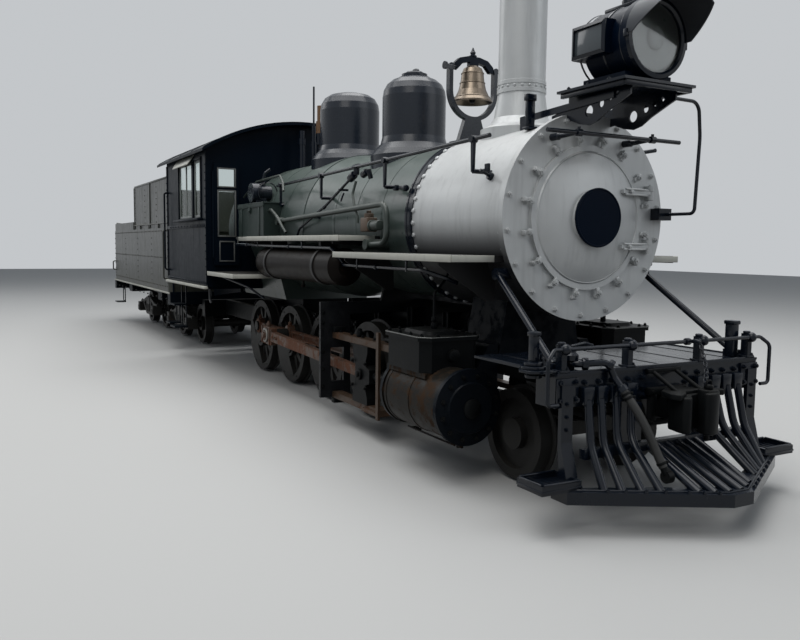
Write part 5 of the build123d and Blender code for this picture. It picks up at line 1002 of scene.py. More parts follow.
# Front deck and beam: edge strips, pocket plates over the pilot bars, and bolts
deck_parts = [block((0.026, 1.80, 0.02), on_deck(-0.012, 0, -0.002), 0.005)]
beam_bolts = []
for side in SIDES:
    deck_parts += [
        block((0.78, 0.02, 0.02), on_deck(-0.42, side * 0.900, -0.002), 0.005),
        block((0.014, 0.17, 0.16), (BEAM_FRONT + 0.0075, side * 0.83, RAIL + 0.815), 0.003),
    ]
    for y in (0.32, 0.459, 0.569, 0.684):
        beam_bolts.append(((BEAM_FRONT + 0.0005, side * y, RAIL + 0.858), AHEAD))
        deck_parts.append(prism(
            [
                (BEAM_FRONT + 0.001, side * y - 0.045, RAIL + 0.835),
                (BEAM_FRONT + 0.001, side * y + 0.045, RAIL + 0.835),
                (BEAM_FRONT + 0.001, side * y + 0.037, RAIL + 0.724),
                (BEAM_FRONT + 0.001, side * y - 0.037, RAIL + 0.724),
            ],
            (0.046, 0, 0), 0.006,
        ))
    for z in (0.76, 0.87):
        for y in (0.77, 0.89):
            beam_bolts.append(((BEAM_FRONT + 0.015, side * (y - 0.002), RAIL + z), AHEAD))
    for z in (0.745, 0.80, 0.86):
        beam_bolts.append(((BEAM_FRONT + 0.0005, side * 0.20, RAIL + z), AHEAD))
for y in (-0.7, -0.35, 0.0, 0.35, 0.7):
    deck_parts.append(block((0.80, 0.012, 0.004), on_deck(-0.43, y, 0.001), 0.0015))
dress(deck_parts, "deck_edges_and_pockets", "engine", "gloss_black")
dress(nuts(0.017, beam_bolts), "beam_bolts", "engine", "gloss_black")

# Post bases, marker posts and the round pad at the deck's right end
deck_fittings = [
    prism(
        [on_deck(-0.26, -0.895, 0), on_deck(-0.22, -1.03, 0), on_deck(-0.15, -1.085, 0),
         on_deck(-0.06, -1.07, 0), on_deck(-0.01, -0.98, 0), on_deck(-0.01, -0.895, 0)],
        (0, 0, 0.018), 0.004,
    ),
    drum(0.082, 0.022, on_deck(-0.135, -0.985, 0.028), UP, 0.006, 32),
    drum(0.062, 0.024, on_deck(-0.135, -0.985, 0.05), UP, 0.008, 32),
    block((0.05, 0.05, 0.20), on_deck(-0.135, -0.985, 0.15), 0.006),
    block((0.066, 0.066, 0.03), on_deck(-0.135, -0.985, 0.235), 0.008),
    drum(0.055, 0.02, (BEAM_FRONT - 0.135, -0.985, RAIL + 0.90), UP, 0.004, 32),
    block((0.075, 0.06, 0.24), on_deck(-0.115, 0.79, 0.12), 0.008),
    block((0.09, 0.075, 0.03), on_deck(-0.115, 0.79, 0.245), 0.008),
]
for y in (-0.985, 0.79):
    for x in (-0.04, 0.04):
        deck_fittings.append(nut_at(
            0.011, (BEAM_FRONT - 0.126 + x * 1.3, y + 0.03, DECK_TOP + 0.06 if y < 0 else DECK_TOP),
        ))
dress(deck_fittings, "marker_posts", "engine", "gloss_black")

# Uncoupling rod: a collar and a cap at each post, and the chain down to the coupler's pin
LEVER_X = BEAM_FRONT + 0.006
LEVER_Z = RAIL + 1.075
collar_outline = [
    (0.014, -0.03), (0.022, -0.026), (0.034, -0.010), (0.036, 0.0), (0.034, 0.010), (0.022, 0.026),
    (0.014, 0.03),
]
collar_parts = []
for y in (-0.85, -0.30, 0.36, 0.85):
    collar_parts += [
        lathe(collar_outline + collar_outline[:1], (LEVER_X, y, LEVER_Z), "Y", 28),
        drum(0.026, 0.02, (LEVER_X - 0.042, y, LEVER_Z + 0.032), UP, 0.008),
        block((0.085, 0.075, 0.016), on_deck(-0.036, y, 0.009), 0.004),
    ]
    for x in (-0.066, -0.006):
        collar_parts.append(nut_at(0.009, (BEAM_FRONT + x, y + 0.026, DECK_TOP + 0.018)))
arm_spots = [
    (LEVER_X, 0.20, LEVER_Z), (LEVER_X + 0.06, 0.20, LEVER_Z + 0.012),
    (LEVER_X + 0.12, 0.19, LEVER_Z + 0.004),
]
collar_parts += [
    tube(arm_spots, 0.011, 0.05),
    drum(0.024, 0.04, (LEVER_X, 0.20, LEVER_Z), ACROSS, 0.005),
]


def link_model():
    """One oval chain link at the origin, standing up."""
    spots = [(0.011 * math.cos(t), 0, 0.018 * math.sin(t)) for t in [math.radians(30 * k) for k in range(13)]]
    return tube(spots, 0.0042, 0.0, 2)


chain_top = Vector((LEVER_X + 0.12, 0.19, LEVER_Z - 0.008))
chain_foot = Vector(at(1.085, 0.085, 0.835))
chain_rows = []
chain_count = 12
for k in range(chain_count):
    share = (k + 0.5) / chain_count
    sag = Vector((0.03, 0, -0.03)) * math.sin(math.pi * share)
    chain_rows.append(aim(
        chain_top.lerp(chain_foot, share) + sag, chain_top - chain_foot, math.pi / 2 * (k % 2),
    ))
collar_parts.append(copies(link_model(), chain_rows))
dress(collar_parts, "lever_collars_and_chain", "engine", "gloss_black")

# Couplers: striker casting, shank, head with its jaw, knuckle and pin
COUPLER_Z = RAIL + 0.66


def coupler_parts(face_x, way):
    """A coupler that points along way, 1 or -1, from the beam's face."""

    def spot(x, y, z):
        """A place from the face and the coupler's middle."""
        return (face_x + way * x, y, COUPLER_Z + z)

    def raised(rows, low, height, edge):
        """An upright plate of this outline, from low to low + height."""
        return prism([spot(x, y, low) for x, y in rows], (0, 0, height), edge)

    parts = [
        block((0.05, 0.34, 0.05), spot(0.026, 0, 0.105), 0.01),
        block((0.05, 0.34, 0.04), spot(0.026, 0, -0.10), 0.01),
        block((0.05, 0.05, 0.19), spot(0.026, -0.13, 0), 0.01),
        block((0.05, 0.05, 0.19), spot(0.026, 0.13, 0), 0.01),
        block((0.20, 0.145, 0.145), spot(0.102, 0, 0), 0.014),
        raised(
            [
                (0.13, -0.085), (0.18, -0.145), (0.26, -0.168), (0.33, -0.172), (0.352, -0.145),
                (0.345, -0.11), (0.29, -0.062), (0.262, -0.02), (0.256, 0.045), (0.225, 0.10), (0.18, 0.128),
                (0.13, 0.088),
            ],
            -0.115, 0.23, 0.016,
        ),
        raised(
            [
                (0.10, -0.10), (0.15, -0.185), (0.27, -0.225), (0.33, -0.20), (0.30, -0.12), (0.24, -0.06),
                (0.23, 0.05), (0.255, 0.13), (0.31, 0.215), (0.28, 0.245), (0.20, 0.20), (0.13, 0.11),
            ],
            0.098, 0.038, 0.010,
        ),
        raised(
            [
                (0.245, 0.165), (0.32, 0.150), (0.368, 0.105), (0.384, 0.05), (0.380, 0.0), (0.338, -0.016),
                (0.322, 0.035), (0.296, 0.068), (0.250, 0.075),
            ],
            -0.135, 0.27, 0.016,
        ),
        drum(0.066, 0.285, spot(0.285, 0.095, 0.002), UP, 0.012, 32),
        drum(0.030, 0.03, spot(0.285, 0.095, 0.158), UP, 0.010, 20),
        drum(0.018, 0.06, spot(0.285, 0.095, -0.155), UP, 0.004, 16),
        tube(
            [
                spot(0.285, 0.072, 0.17), spot(0.285, 0.072, 0.20), spot(0.285, 0.118, 0.20),
                spot(0.285, 0.118, 0.17),
            ],
            0.006, 0.02,
        ),
    ]
    for y in (-0.15, 0.15):
        for z in (-0.10, 0.105):
            nut = nut_model(0.014)
            nut.matrix_world = aim(spot(0.051, y, z), (way, 0, 0))
            parts.append(nut)
    return parts


front_coupler = coupler_parts(BEAM_FRONT + 0.0003, 1)
for y_beam, y_end in ((-0.12, -0.10), (0.086, 0.115)):
    front_coupler.append(tube([(BEAM_FRONT + 0.01, y_beam, RAIL + 0.895), at(1.06, y_end, 0.775)], 0.014))
front_coupler.append(block((0.03, 0.30, 0.03), (BEAM_FRONT + 0.014, -0.02, RAIL + 0.897), 0.006))
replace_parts(dress(front_coupler, "front_coupler_casting", "engine", "frame_black"), "front_coupler")
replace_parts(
    dress(coupler_parts(TENDER_REAR - 0.0003, -1), "rear_coupler_casting", "tender", "frame_black"),
    "rear_coupler",
)

# Train pipe: unions along the pipe, the angle cock and its handle
PIPE_Z = DECK_TOP + 0.038
cock_parts = [
    drum(0.042, 0.05, (FRONT + 0.64, -0.728, PIPE_Z), AHEAD, 0.008, 6),
    drum(0.040, 0.04, (FRONT + 0.80, -0.665, PIPE_Z + 0.006), (0.48, 0.87, 0.03), 0.006, 6),
    lathe(
        [(0.0, 0.0), (0.03, 0.0), (0.05, 0.012), (0.052, 0.045), (0.034, 0.062), (0.03, 0.09), (0.0, 0.094)],
        (FRONT + 0.72, -0.716, PIPE_Z + 0.012), "Z", 24,
    ),
    tube(
        [
            (FRONT + 0.72, -0.716, PIPE_Z + 0.11), (FRONT + 0.72, -0.60, PIPE_Z + 0.125),
            (FRONT + 0.74, -0.55, PIPE_Z + 0.11),
        ],
        0.009, 0.03,
    ),
    drum(0.036, 0.035, (FRONT + 0.874, -0.52, PIPE_Z), (0.6, 0.6, -0.5), 0.006, 6),
    drum(0.033, 0.03, at(0.918, -0.462, 0.822), (0.45, 0.19, -0.6), 0.005, 6),
]
dress(cock_parts, "train_pipe_cock", "engine", "gloss_black")

# Pilot: nuts on the foot, the step trays' rims and treads
pilot_parts = []
foot_rows = []
for side in SIDES:
    for y in (0.72, 0.625, 0.52, 0.42, 0.30, 0.22, 0.14):
        share = max((y - 0.085) / 0.865, 0)
        x = FRONT + 1.490 - 0.49 * share - 0.066
        foot_rows.append(((x + 0.045, side * (y + 0.012), RAIL + 0.243), UP))
    tray = block((0.25, 0.31, 0.014), at(0.88, side * 0.99, 0.2625), 0.003)
    pilot_parts.append(tray)
    for k in range(5):
        pilot_parts.append(block((0.19, 0.010, 0.006), at(0.88, side * (0.89 + 0.05 * k), 0.272), 0.002))
    for x in (0.766, 0.994):
        pilot_parts.append(drum(0.009, 0.27, at(x, side * 0.99, 0.302), ACROSS, 0.002, 12))
    pilot_parts.append(drum(0.009, 0.21, at(0.88, side * 1.133, 0.302), AHEAD, 0.002, 12))
    for z in (0.58, 0.66, 0.74):
        foot_rows.append(((BEAM_FRONT + 0.0305, side * 0.845, RAIL + z), AHEAD))
pilot_parts.append(nuts(0.012, foot_rows))
band = [(FRONT + 0.985, 0.905), (FRONT + 1.445, 0.085), (FRONT + 1.445, -0.085), (FRONT + 0.985, -0.905)]
pilot_parts.append(tube([(x, y, RAIL + 0.245) for x, y in band], 0.007))
dress(pilot_parts, "pilot_fittings", "engine", "gloss_black")

# Running gear. The yoke is black with brown slide bars behind and ahead of it
guide_finish = weathered("guide_bar_rust", (0.060, 0.036, 0.022), 0.4, 0.8, 0.5, 0.15, 0.3, 0.2, 0.3,
                         rust=(0.085, 0.036, 0.016), gloss=0.3)
two_tone("guides_and_yoke", "slide_bars_and_yoke", guide_finish, (0.006, 0.007, 0.009),
         [("X", "GREATER_THAN", FRONT - 2.491), ("X", "LESS_THAN", FRONT - 2.443)])

# Cylinders: jacket bands, cover nuts, gland studs, drain cocks
jacket_parts = []
caps = []
bright_parts = []
cover_nuts = []
for side in SIDES:
    centre_y = side * CYLINDER_Y
    for x in (-0.20, -0.57, -0.93):
        jacket_parts.append(ring(0.2615, 0.2665, 0.018, 0.015, (FRONT + x, centre_y, CYLINDER_Z), steps=48))
    for k in range(12):
        turn = math.radians(30 * k + 15)
        spot = Vector((0, math.cos(turn), math.sin(turn)))
        cover_nuts += [
            (Vector((FRONT - 0.118, centre_y, CYLINDER_Z)) + spot * 0.232, Vector(AHEAD) + spot * 0.36),
            (Vector((FRONT - 1.0005, centre_y, CYLINDER_Z)) + spot * 0.232, Vector((-1, 0, 0))),
        ]
    caps.append(lathe([(0.0, 0.0), (0.06, 0.0), (0.07, 0.008), (0.07, 0.02), (0.05, 0.034), (0.0, 0.038)],
                      (FRONT - 0.0985, centre_y, CYLINDER_Z), steps=28))
    for y in (-0.085, 0.085):
        cover_nuts.append((Vector((FRONT - 1.0605, centre_y + y, CYLINDER_Z)), Vector((-1, 0, 0))))
        jacket_parts.append(drum(0.011, 0.07, (FRONT - 1.035, centre_y + y, CYLINDER_Z), AHEAD))
    for x in (-0.26, -0.87):
        jacket_parts += [
            drum(0.016, 0.075, (FRONT + x, centre_y, CYLINDER_Z - 0.285), UP),
            drum(0.012, 0.07, (FRONT + x + 0.02, centre_y, CYLINDER_Z - 0.305), AHEAD),
            block((0.012, 0.05, 0.012), (FRONT + x, centre_y + side * 0.03, CYLINDER_Z - 0.29), 0.003),
        ]
    jacket_parts.append(drum(0.008, 0.70, (FRONT - 0.57, centre_y + side * 0.055, CYLINDER_Z - 0.29), AHEAD))
dress(jacket_parts, "cylinder_bands_and_cocks", "engine", "cylinder_rust")
dress(caps, "cylinder_cover_caps", "engine", "frame_black")
dress(nuts(0.015, cover_nuts), "cylinder_cover_nuts", "engine", "frame_black")

# Steam chests: lid nuts, worn lid edges, feed pipes and valve rods
chest_nuts = []
chest_parts = []
for side in SIDES:
    centre = Vector(at(-0.70, side * 0.89, 1.029))
    for along in (-0.25, -0.085, 0.085, 0.25):
        for across in (-0.235, 0.235):
            chest_nuts.append((centre + Vector((along, across, 0)), Vector(UP)))
    for across in (-0.12, 0.12):
        for along in (-0.295, 0.295):
            chest_nuts.append((centre + Vector((along, across, 0)), Vector(UP)))
    edge_spots = [
        (0.33, -0.195), (0.33, 0.195), (0.255, 0.27), (-0.255, 0.27), (-0.33, 0.195), (-0.33, -0.195),
        (-0.255, -0.27), (0.255, -0.27),
    ]
    lid_edge = [centre + Vector((x, y, -0.003)) for x, y in edge_spots]
    bright_parts.append(tube(lid_edge + lid_edge[:2], 0.0045, 0.012))
    pipe_rows = [centre + Vector((0, side * -0.02, 0.026)), centre + Vector((0, side * -0.02, 0.30)),
                 centre + Vector((-0.02, side * -0.14, 0.42)), centre + Vector((-0.03, side * -0.20, 0.56))]
    chest_parts += [
        tube(pipe_rows, 0.010, 0.06),
        drum(0.026, 0.05, pipe_rows[0] + Vector((0, 0, 0.024)), UP, 0.004, 6),
        drum(0.020, 0.04, pipe_rows[0] + Vector((0, 0, 0.075)), UP, 0.008, 16),
        drum(0.048, 0.07, at(-1.035, side * 0.89, 0.885), AHEAD, 0.008, 28),
        drum(0.022, 0.44, at(-1.24, side * 0.89, 0.885), AHEAD, 0.004, 20),
        drum(0.048, 0.05, at(-0.375, side * 0.89, 0.885), AHEAD, 0.012, 28),
    ]
dress(nuts(0.014, chest_nuts), "chest_lid_nuts", "engine", "frame_black")
dress(chest_parts, "chest_pipes_and_rods", "engine", "frame_black")
# Pale edge finish: wear on the steam chest lid edges, and a painted highlight on the cab door mouldings
worn_and_highlight_edge = weathered("worn_edge_and_painted_highlight", (0.13, 0.135, 0.13), 0.4, 0.7, 0.3, 0.2, 0.3, 0.3, 0.1)
dress(bright_parts, "chest_worn_edges", "engine", "cylinder_rust", worn_and_highlight_edge)

# Crossheads: caps, oil cups and the bolts of guides and yoke
cross_nuts = []
cross_parts = []
for side in SIDES:
    wrist = WRIST_X[side]
    out = Vector((0, side, 0))
    cheek = side * 0.9795
    cross_parts += [
        drum(0.052, 0.02, (wrist, cheek + side * 0.008, CYLINDER_Z), ACROSS, 0.006, 28),
        drum(0.030, 0.02, (wrist, cheek + side * 0.024, CYLINDER_Z), ACROSS, 0.006, 6),
    ]
    for x in (-0.13, 0.13):
        for z in (-0.11, 0.11):
            cross_nuts.append(((wrist + x, cheek, CYLINDER_Z + z), out))
    for x in (-2.36, -2.12, -1.88, -1.64, -1.10, -1.25):
        cross_nuts.append((at(x, side * 0.91, 0.860), UP))
    cross_parts += [
        drum(0.030, 0.06, at(-1.95, side * 0.91, 0.889), UP, 0.008, 20),
        drum(0.022, 0.02, at(-1.95, side * 0.91, 0.928), UP, 0.006, 16),
        block((0.07, 0.125, 0.05), at(-2.416, side * 0.91, 0.886), 0.008),
        block((0.07, 0.125, 0.05), at(-2.416, side * 0.91, 0.194), 0.008),
    ]
    for z in (0.83, 0.25):
        cross_nuts += [
            (at(-2.4865, side * 0.91, z), (-1, 0, 0)),
            (at(-2.4865, side * 0.82, z), (-1, 0, 0)),
        ]
    for z in (0.33, 0.50, 0.67, 0.95, 1.05):
        cross_nuts.append((at(-2.4495, side * 1.06, z), AHEAD))
dress(nuts(0.015, cross_nuts), "guide_and_crosshead_nuts", "engine", "frame_black")
dress(cross_parts, "crosshead_caps_and_cups", "engine", "frame_black")

# Main rods at the big end: straps, bolts, an oil cup and a worn pale boss
rod_parts = []
boss_parts = []
for side in SIDES:
    pin_x, pin_z = CRANK_PIN[side]
    small = Vector((WRIST_X[side], 0, CYLINDER_Z))
    big = Vector((pin_x, 0, pin_z))
    along = (big - small).normalized()
    upright = Vector((-along.z, 0, along.x)) * (1 if along.x > 0 else -1)
    face = Vector((0, side * 0.9455, 0))
    slope = -math.atan2(along.z, along.x)
    boss_parts.append(drum(0.088, 0.022, big + face + Vector((0, side * 0.010, 0)), ACROSS, 0.008, 36))
    rod_parts.append(drum(0.040, 0.03, big + face + Vector((0, side * 0.030, 0)), ACROSS, 0.008, 6))
    for share in (-0.13, 0.13):
        spot = big + face + along * share
        rod_parts.append(block(
            (0.03, 0.012, 0.205), spot + Vector((0, side * 0.005, 0)), 0.003, (0, slope, 0),
        ))
    for share in (-0.24, -0.30, -0.36):
        rod_parts.append(drum(
            0.017, 0.016, big + face + along * share + Vector((0, side * 0.008, 0)), ACROSS, 0.003, 6,
        ))
    cup = big + Vector((0, side * 0.91, 0)) + upright * 0.105
    rod_parts += [
        drum(0.026, 0.05, cup + upright * 0.02, upright, 0.008, 20),
        drum(0.014, 0.02, cup + upright * 0.052, upright, 0.004, 12),
    ]
dress(rod_parts, "main_rod_fittings", "engine", "rod_rust")
worn_boss = weathered("worn_rod_boss", (0.26, 0.25, 0.23), 0.4, 0.7, 0.35, 0.2, 0.3, 0.4, 0.12)
dress(boss_parts, "main_rod_bosses", "engine", "rod_rust", worn_boss)

# Side rods: oil cups and edge ribs, riding with their rods
for side, side_name in SIDE_NAME.items():
    parts = []
    turn = math.radians(CRANK_DEG[side])
    throw = Vector((math.cos(turn), 0, math.sin(turn))) * CRANK_THROW
    pins = [Vector((x, 0, DRIVER_Z)) + throw for x in DRIVER_X]
    for k, pin in enumerate(pins):
        eye_top = pin + Vector((0, side * 0.641, 0.092 if k != 2 else 0.102))
        parts += [
            drum(0.022, 0.045, eye_top + Vector((0, 0, 0.018)), UP, 0.007, 20),
            drum(0.012, 0.018, eye_top + Vector((0, 0, 0.048)), UP, 0.004, 12),
        ]
    for first, second in zip(pins, pins[1:]):
        middle = (first + second) / 2 + Vector((0, side * 0.6065, 0))
        span = abs(second.x - first.x) - 0.34
        for z in (-0.034, 0.034):
            parts.append(block((span, 0.010, 0.014), middle + Vector((0, side * 0.0715, z)), 0.003))
    dress(parts, f"side_rod_fittings_{side_name}", f"side_rod_{side_name}", "rod_rust")

# Wheels: tyre seam rings and rim bolts that turn with their axle
for k, x in enumerate(DRIVER_X):
    parts = []
    for side in SIDES:
        seam = [(0.404, 0.0), (0.409, 0.006), (0.414, 0.0)]
        parts.append(lathe(seam, (x, side * 0.5603, DRIVER_Z), "Y", 56))
        for turn in range(0, 360, 60):
            spot = Vector((math.cos(math.radians(turn)), 0, math.sin(math.radians(turn)))) * 0.435
            parts.append(drum(0.011, 0.010, (x + spot.x, side * 0.562, DRIVER_Z + spot.z), ACROSS, 0.003, 6))
    dress(parts, f"tyre_details_{k + 1}", f"driver_axle_{k + 1}", "wheel_black")

# Boiler's right side: reach rods, valves, feed pipes and the check valve
side_rods = [
    pipe(
        [(-2.303, -0.80, 2.366), (-2.95, -0.815, 2.10), (-3.659, -0.83, 1.868), (-3.72, -0.83, 1.80)], 0.013,
        0.1,
    ),
    drum(0.040, 0.10, at(-2.36, -0.80, 2.345), (0.9, 0, 0.37), 0.008, 8),
    drum(0.030, 0.07, at(-2.27, -0.80, 2.39), UP, 0.006, 8),
    drum(0.046, 0.014, at(-2.27, -0.80, 2.44), (0.2, -0.4, 1), 0.004, 20),
    drum(0.034, 0.09, at(-2.13, -0.78, 2.36), (0.9, 0, 0.3), 0.008, 8),
    drum(0.026, 0.09, at(-2.04, -0.775, 2.35), (0, -0.3, 1), 0.006, 6),
    pipe([(-1.80, -0.725, 2.21), (-1.465, -0.71, 2.19)], 0.011),
    block((0.05, 0.04, 0.05), at(-1.62, -0.725, 2.20), 0.008),
    drum(0.030, 0.03, at(-1.47, -0.71, 2.19), AHEAD, 0.006, 8),
    pipe([(-2.52, -0.815, 2.20), (-2.56, -0.83, 2.12)], 0.009),
    drum(0.018, 0.05, at(-3.0, -0.815, 2.08), (0.93, 0, 0.36), 0.005, 12),
]
for x, z in ((-2.62, 2.235), (-3.30, 1.985)):
    side_rods.append(block((0.03, 0.10, 0.022), at(x, -0.775, z), 0.004))
dress(side_rods, "right_reach_rods", "engine", "gloss_black")
pale_pipes = [
    pipe(
        [
            (-2.30, -0.79, 2.30), (-2.322, -0.815, 2.18), (-2.232, -0.84, 2.064), (-2.15, -0.84, 1.95),
            (-2.15, -0.84, 1.90),
        ],
        0.013, 0.06,
    ),
    drum(0.045, 0.14, at(-1.80, -0.82, 1.875), AHEAD, 0.010, 28),
    drum(0.052, 0.025, at(-1.885, -0.82, 1.875), AHEAD, 0.006, 28),
    pipe(
        [
            (-5.55, -0.86, 2.30), (-5.1, -0.84, 2.47), (-4.36, -0.80, 2.502), (-4.15, -0.84, 2.40),
            (-4.05, -0.87, 2.30),
        ],
        0.014, 0.12,
    ),
    pipe(
        [(-4.60, -0.93, 2.05), (-4.30, -0.93, 2.10), (-4.20, -0.90, 2.02), (-3.95, -0.88, 1.83)], 0.017, 0.07,
    ),
    drum(0.03, 0.05, at(-4.60, -0.93, 2.05), AHEAD, 0.006, 8),
]
dress(pale_pipes, "pale_feed_pipes", "engine", "pipe_metal")
check_valve = [
    block((0.15, 0.11, 0.13), at(-2.0, -0.80, 1.885), 0.014),
    drum(0.045, 0.05, at(-2.0, -0.80, 1.965), UP, 0.010, 24),
    drum(0.026, 0.03, at(-2.0, -0.80, 2.0), UP, 0.008, 6),
]
worn_brown = weathered("worn_brown_casting", (0.115, 0.078, 0.052), 0.5, 0.8, 0.3, 0.3, 0.3)
dress(check_valve, "check_valve_body", "engine", "rod_rust", worn_brown)

# Black band and large rivets where the jacket meets the smokebox
joint_band = lathe(
    [
        (0.700, -0.105), (0.728, -0.105), (0.728, -0.082), (0.722, -0.078), (0.722, -0.022), (0.728, -0.018),
        (0.728, 0.014), (0.700, 0.014),
    ],
    (SMOKEBOX_REAR, 0, BOILER_Z), steps=72,
)
dress(joint_band, "smokebox_joint_band", "engine", "gloss_black")
joint_rows = around(44, SMOKEBOX_R + 0.001, SMOKEBOX_REAR + 0.034, 2.0)
dress(rivets(0.021, joint_rows), "smokebox_joint_rivets", "engine", "smokebox_silver")

# Pipes under the walkways, with their unions and hangers
walk_pipes = [
    pipe(
        [(-4.846, -1.05, 1.685), (-2.289, -1.05, 1.668), (-2.18, -1.03, 1.60), (-2.12, -1.0, 1.53)], 0.015,
        0.08,
    ),
    pipe(
        [(-2.12, -1.0, 1.514), (-0.66, -1.0, 1.512), (-0.50, -0.90, 1.46), (-0.48, -0.80, 1.42)], 0.015, 0.08,
    ),
    pipe([(-5.30, -1.05, 1.69), (-4.95, -1.05, 1.69), (-4.846, -1.05, 1.685)], 0.015),
]
for place in (at(-4.84, -1.05, 1.685), at(-3.40, -1.05, 1.676), at(-1.45, -1.0, 1.513)):
    walk_pipes.append(drum(0.026, 0.04, place, AHEAD, 0.006, 8))
for x, y, low, high in (
    (-4.4, -1.05, 1.66, 1.757),
    (-3.0, -1.05, 1.65, 1.757),
    (-1.8, -1.0, 1.49, 1.606),
    (-0.9, -1.0, 1.49, 1.606),
):
    walk_pipes.append(block((0.022, 0.012, high - low), at(x, y - 0.012, (low + high) / 2), 0.003))
walk_pipes += [
    pipe(
        [(-5.48, -1.25, 1.30), (-5.10, -1.25, 1.28), (-4.60, -1.10, 1.18), (-4.50, -0.95, 1.05)], 0.014, 0.08,
    ),
    pipe([(-5.80, -1.25, 1.13), (-5.80, -1.25, 0.98), (-5.95, -1.20, 0.92)], 0.018, 0.06),
]
dress(walk_pipes, "walkway_pipes", "engine", "gloss_black")

# Air reservoir: end seams and drain. Tool box: lid, hasp and straps
tank_parts = []
for x in (-4.33, -2.26):
    tank_parts.append(ring(0.1745, 0.179, 0.012, 0.009, at(x, -0.925, 1.49), steps=44))
tank_parts += [
    drum(0.014, 0.06, at(-3.3, -0.925, 1.29), UP, 0.004, 12),
    drum(0.026, 0.03, at(-3.3, -0.925, 1.262), UP, 0.004, 6),
    drum(0.022, 0.06, at(-4.42, -0.925, 1.54), AHEAD, 0.006, 8),
]
dress(tank_parts, "reservoir_seams_and_drain", "engine", "reservoir_brown")
box_parts = [
    block((0.985, 0.334, 0.018), at(-4.85, -0.845, 2.181), 0.004),
    block((0.985, 0.012, 0.05), at(-4.85, -1.005, 2.158), 0.003),
    block((0.05, 0.016, 0.09), at(-4.85, -1.009, 2.11), 0.003),
    drum(0.012, 0.05, at(-4.85, -1.022, 2.09), AHEAD, 0.003, 12),
]
for x in (-5.18, -4.52):
    box_parts.append(block((0.05, 0.010, 0.40), at(x, -1.004, 1.985), 0.002))
dress(box_parts, "tool_box_lid_and_straps", "engine", "box_green")

# Generator: cover rings and its exhaust
generator_parts = [
    ring(0.119, 0.127, 0.015, 0.010, at(-4.93 - 0.135, -0.80, 2.325), steps=36),
    ring(0.119, 0.127, 0.015, 0.010, at(-4.93 + 0.135, -0.80, 2.325), steps=36),
    pipe([(-4.93, -0.80, 2.43), (-4.93, -0.80, 2.56), (-4.93, -0.72, 2.62)], 0.017, 0.05),
    drum(0.028, 0.03, at(-4.93, -0.80, 2.455), UP, 0.006, 8),
]
dress(generator_parts, "generator_rings_and_exhaust", "engine", "gloss_black")

# Cab: window frames, sashes and glass
pane_glass = clear_glass("window_glass", (0.80, 0.88, 0.86), 0.05, 1.1)


def window_frame(rear, front, low, high, y, width, depth):
    """Four strips round a window in a side wall."""
    return [
        block((front - rear + 2 * width, depth, width), at((rear + front) / 2, y, low - width / 2), 0.003),
        block((front - rear + 2 * width, depth, width), at((rear + front) / 2, y, high + width / 2), 0.003),
        block((width, depth, high - low), at(rear - width / 2, y, (low + high) / 2), 0.003),
        block((width, depth, high - low), at(front + width / 2, y, (low + high) / 2), 0.003),
    ]


CAB_WINDOWS = ((-6.22, -5.86, 2.04, 2.79), (-7.06, -6.30, 2.04, 2.79))
frame_parts = []
awning_parts = []
sash_parts = []
pane_parts = []
for side in SIDES:
    outside = side * (CAB_HALF + 0.007)
    inside = side * (CAB_HALF - 0.016)
    for rear, front, low, high in CAB_WINDOWS:
        frame_parts.extend(window_frame(rear, front, low, high, outside, 0.035, 0.014))
        sash_parts.extend(window_frame(
            rear + 0.032, front - 0.032, low + 0.032, high - 0.032, inside, 0.032, 0.018,
        ))
        if front - rear > 0.5:
            sash_parts.append(block(
                (0.03, 0.018, high - low - 0.06), at((rear + front) / 2, inside, (low + high) / 2), 0.003,
            ))
        pane_parts.append(block(
            (front - rear - 0.05, 0.004, high - low - 0.05),
            at((rear + front) / 2, inside, (low + high) / 2),
            0.0,
        ))
    frame_parts.append(block((1.40, 0.074, 0.028), at(-6.46, side * (CAB_HALF + 0.038), 2.012), 0.008))
    awning_parts.append(prism(
        [
            at(-7.16, side * (CAB_HALF + 0.001), 2.862), at(-6.20, side * (CAB_HALF + 0.001), 2.862),
            at(-6.24, side * 1.421, 2.745), at(-7.12, side * 1.421, 2.745),
        ],
        Vector((0, side * 0.003, 0.012)), 0.002,
    ))
    frame_parts += [
        block((2.20, 0.012, 0.05), at(-6.715, side * (CAB_HALF + 0.006), 1.93), 0.003),
        block((2.24, 0.012, 0.04), at(-6.715, side * (CAB_HALF + 0.006), 1.185), 0.003),
    ]
    for x in (-5.605, -7.825):
        frame_parts.append(block((0.05, 0.012, 1.66), at(x, side * (CAB_HALF + 0.006), 2.02), 0.003))
    wall = side * CAB_HALF
    frame_parts.append(side_grab(FRONT - 7.74, wall, wall + side * 0.066, RAIL + 1.30, RAIL + 2.45, 0.014))
dress(frame_parts, "cab_window_frames", "engine", "cab_black")
dress(awning_parts, "cab_window_awnings", "engine", "cab_black", board_white)
sash_paint = weathered("pale_sash_paint", (0.22, 0.24, 0.23), 0.45, 0.7, 0.05, 0.2, 0.3)
dress(sash_parts, "cab_window_sashes", "engine", "cab_black", sash_paint)
dress(pane_parts, "cab_window_panes", "engine", "cab_black", pane_glass)

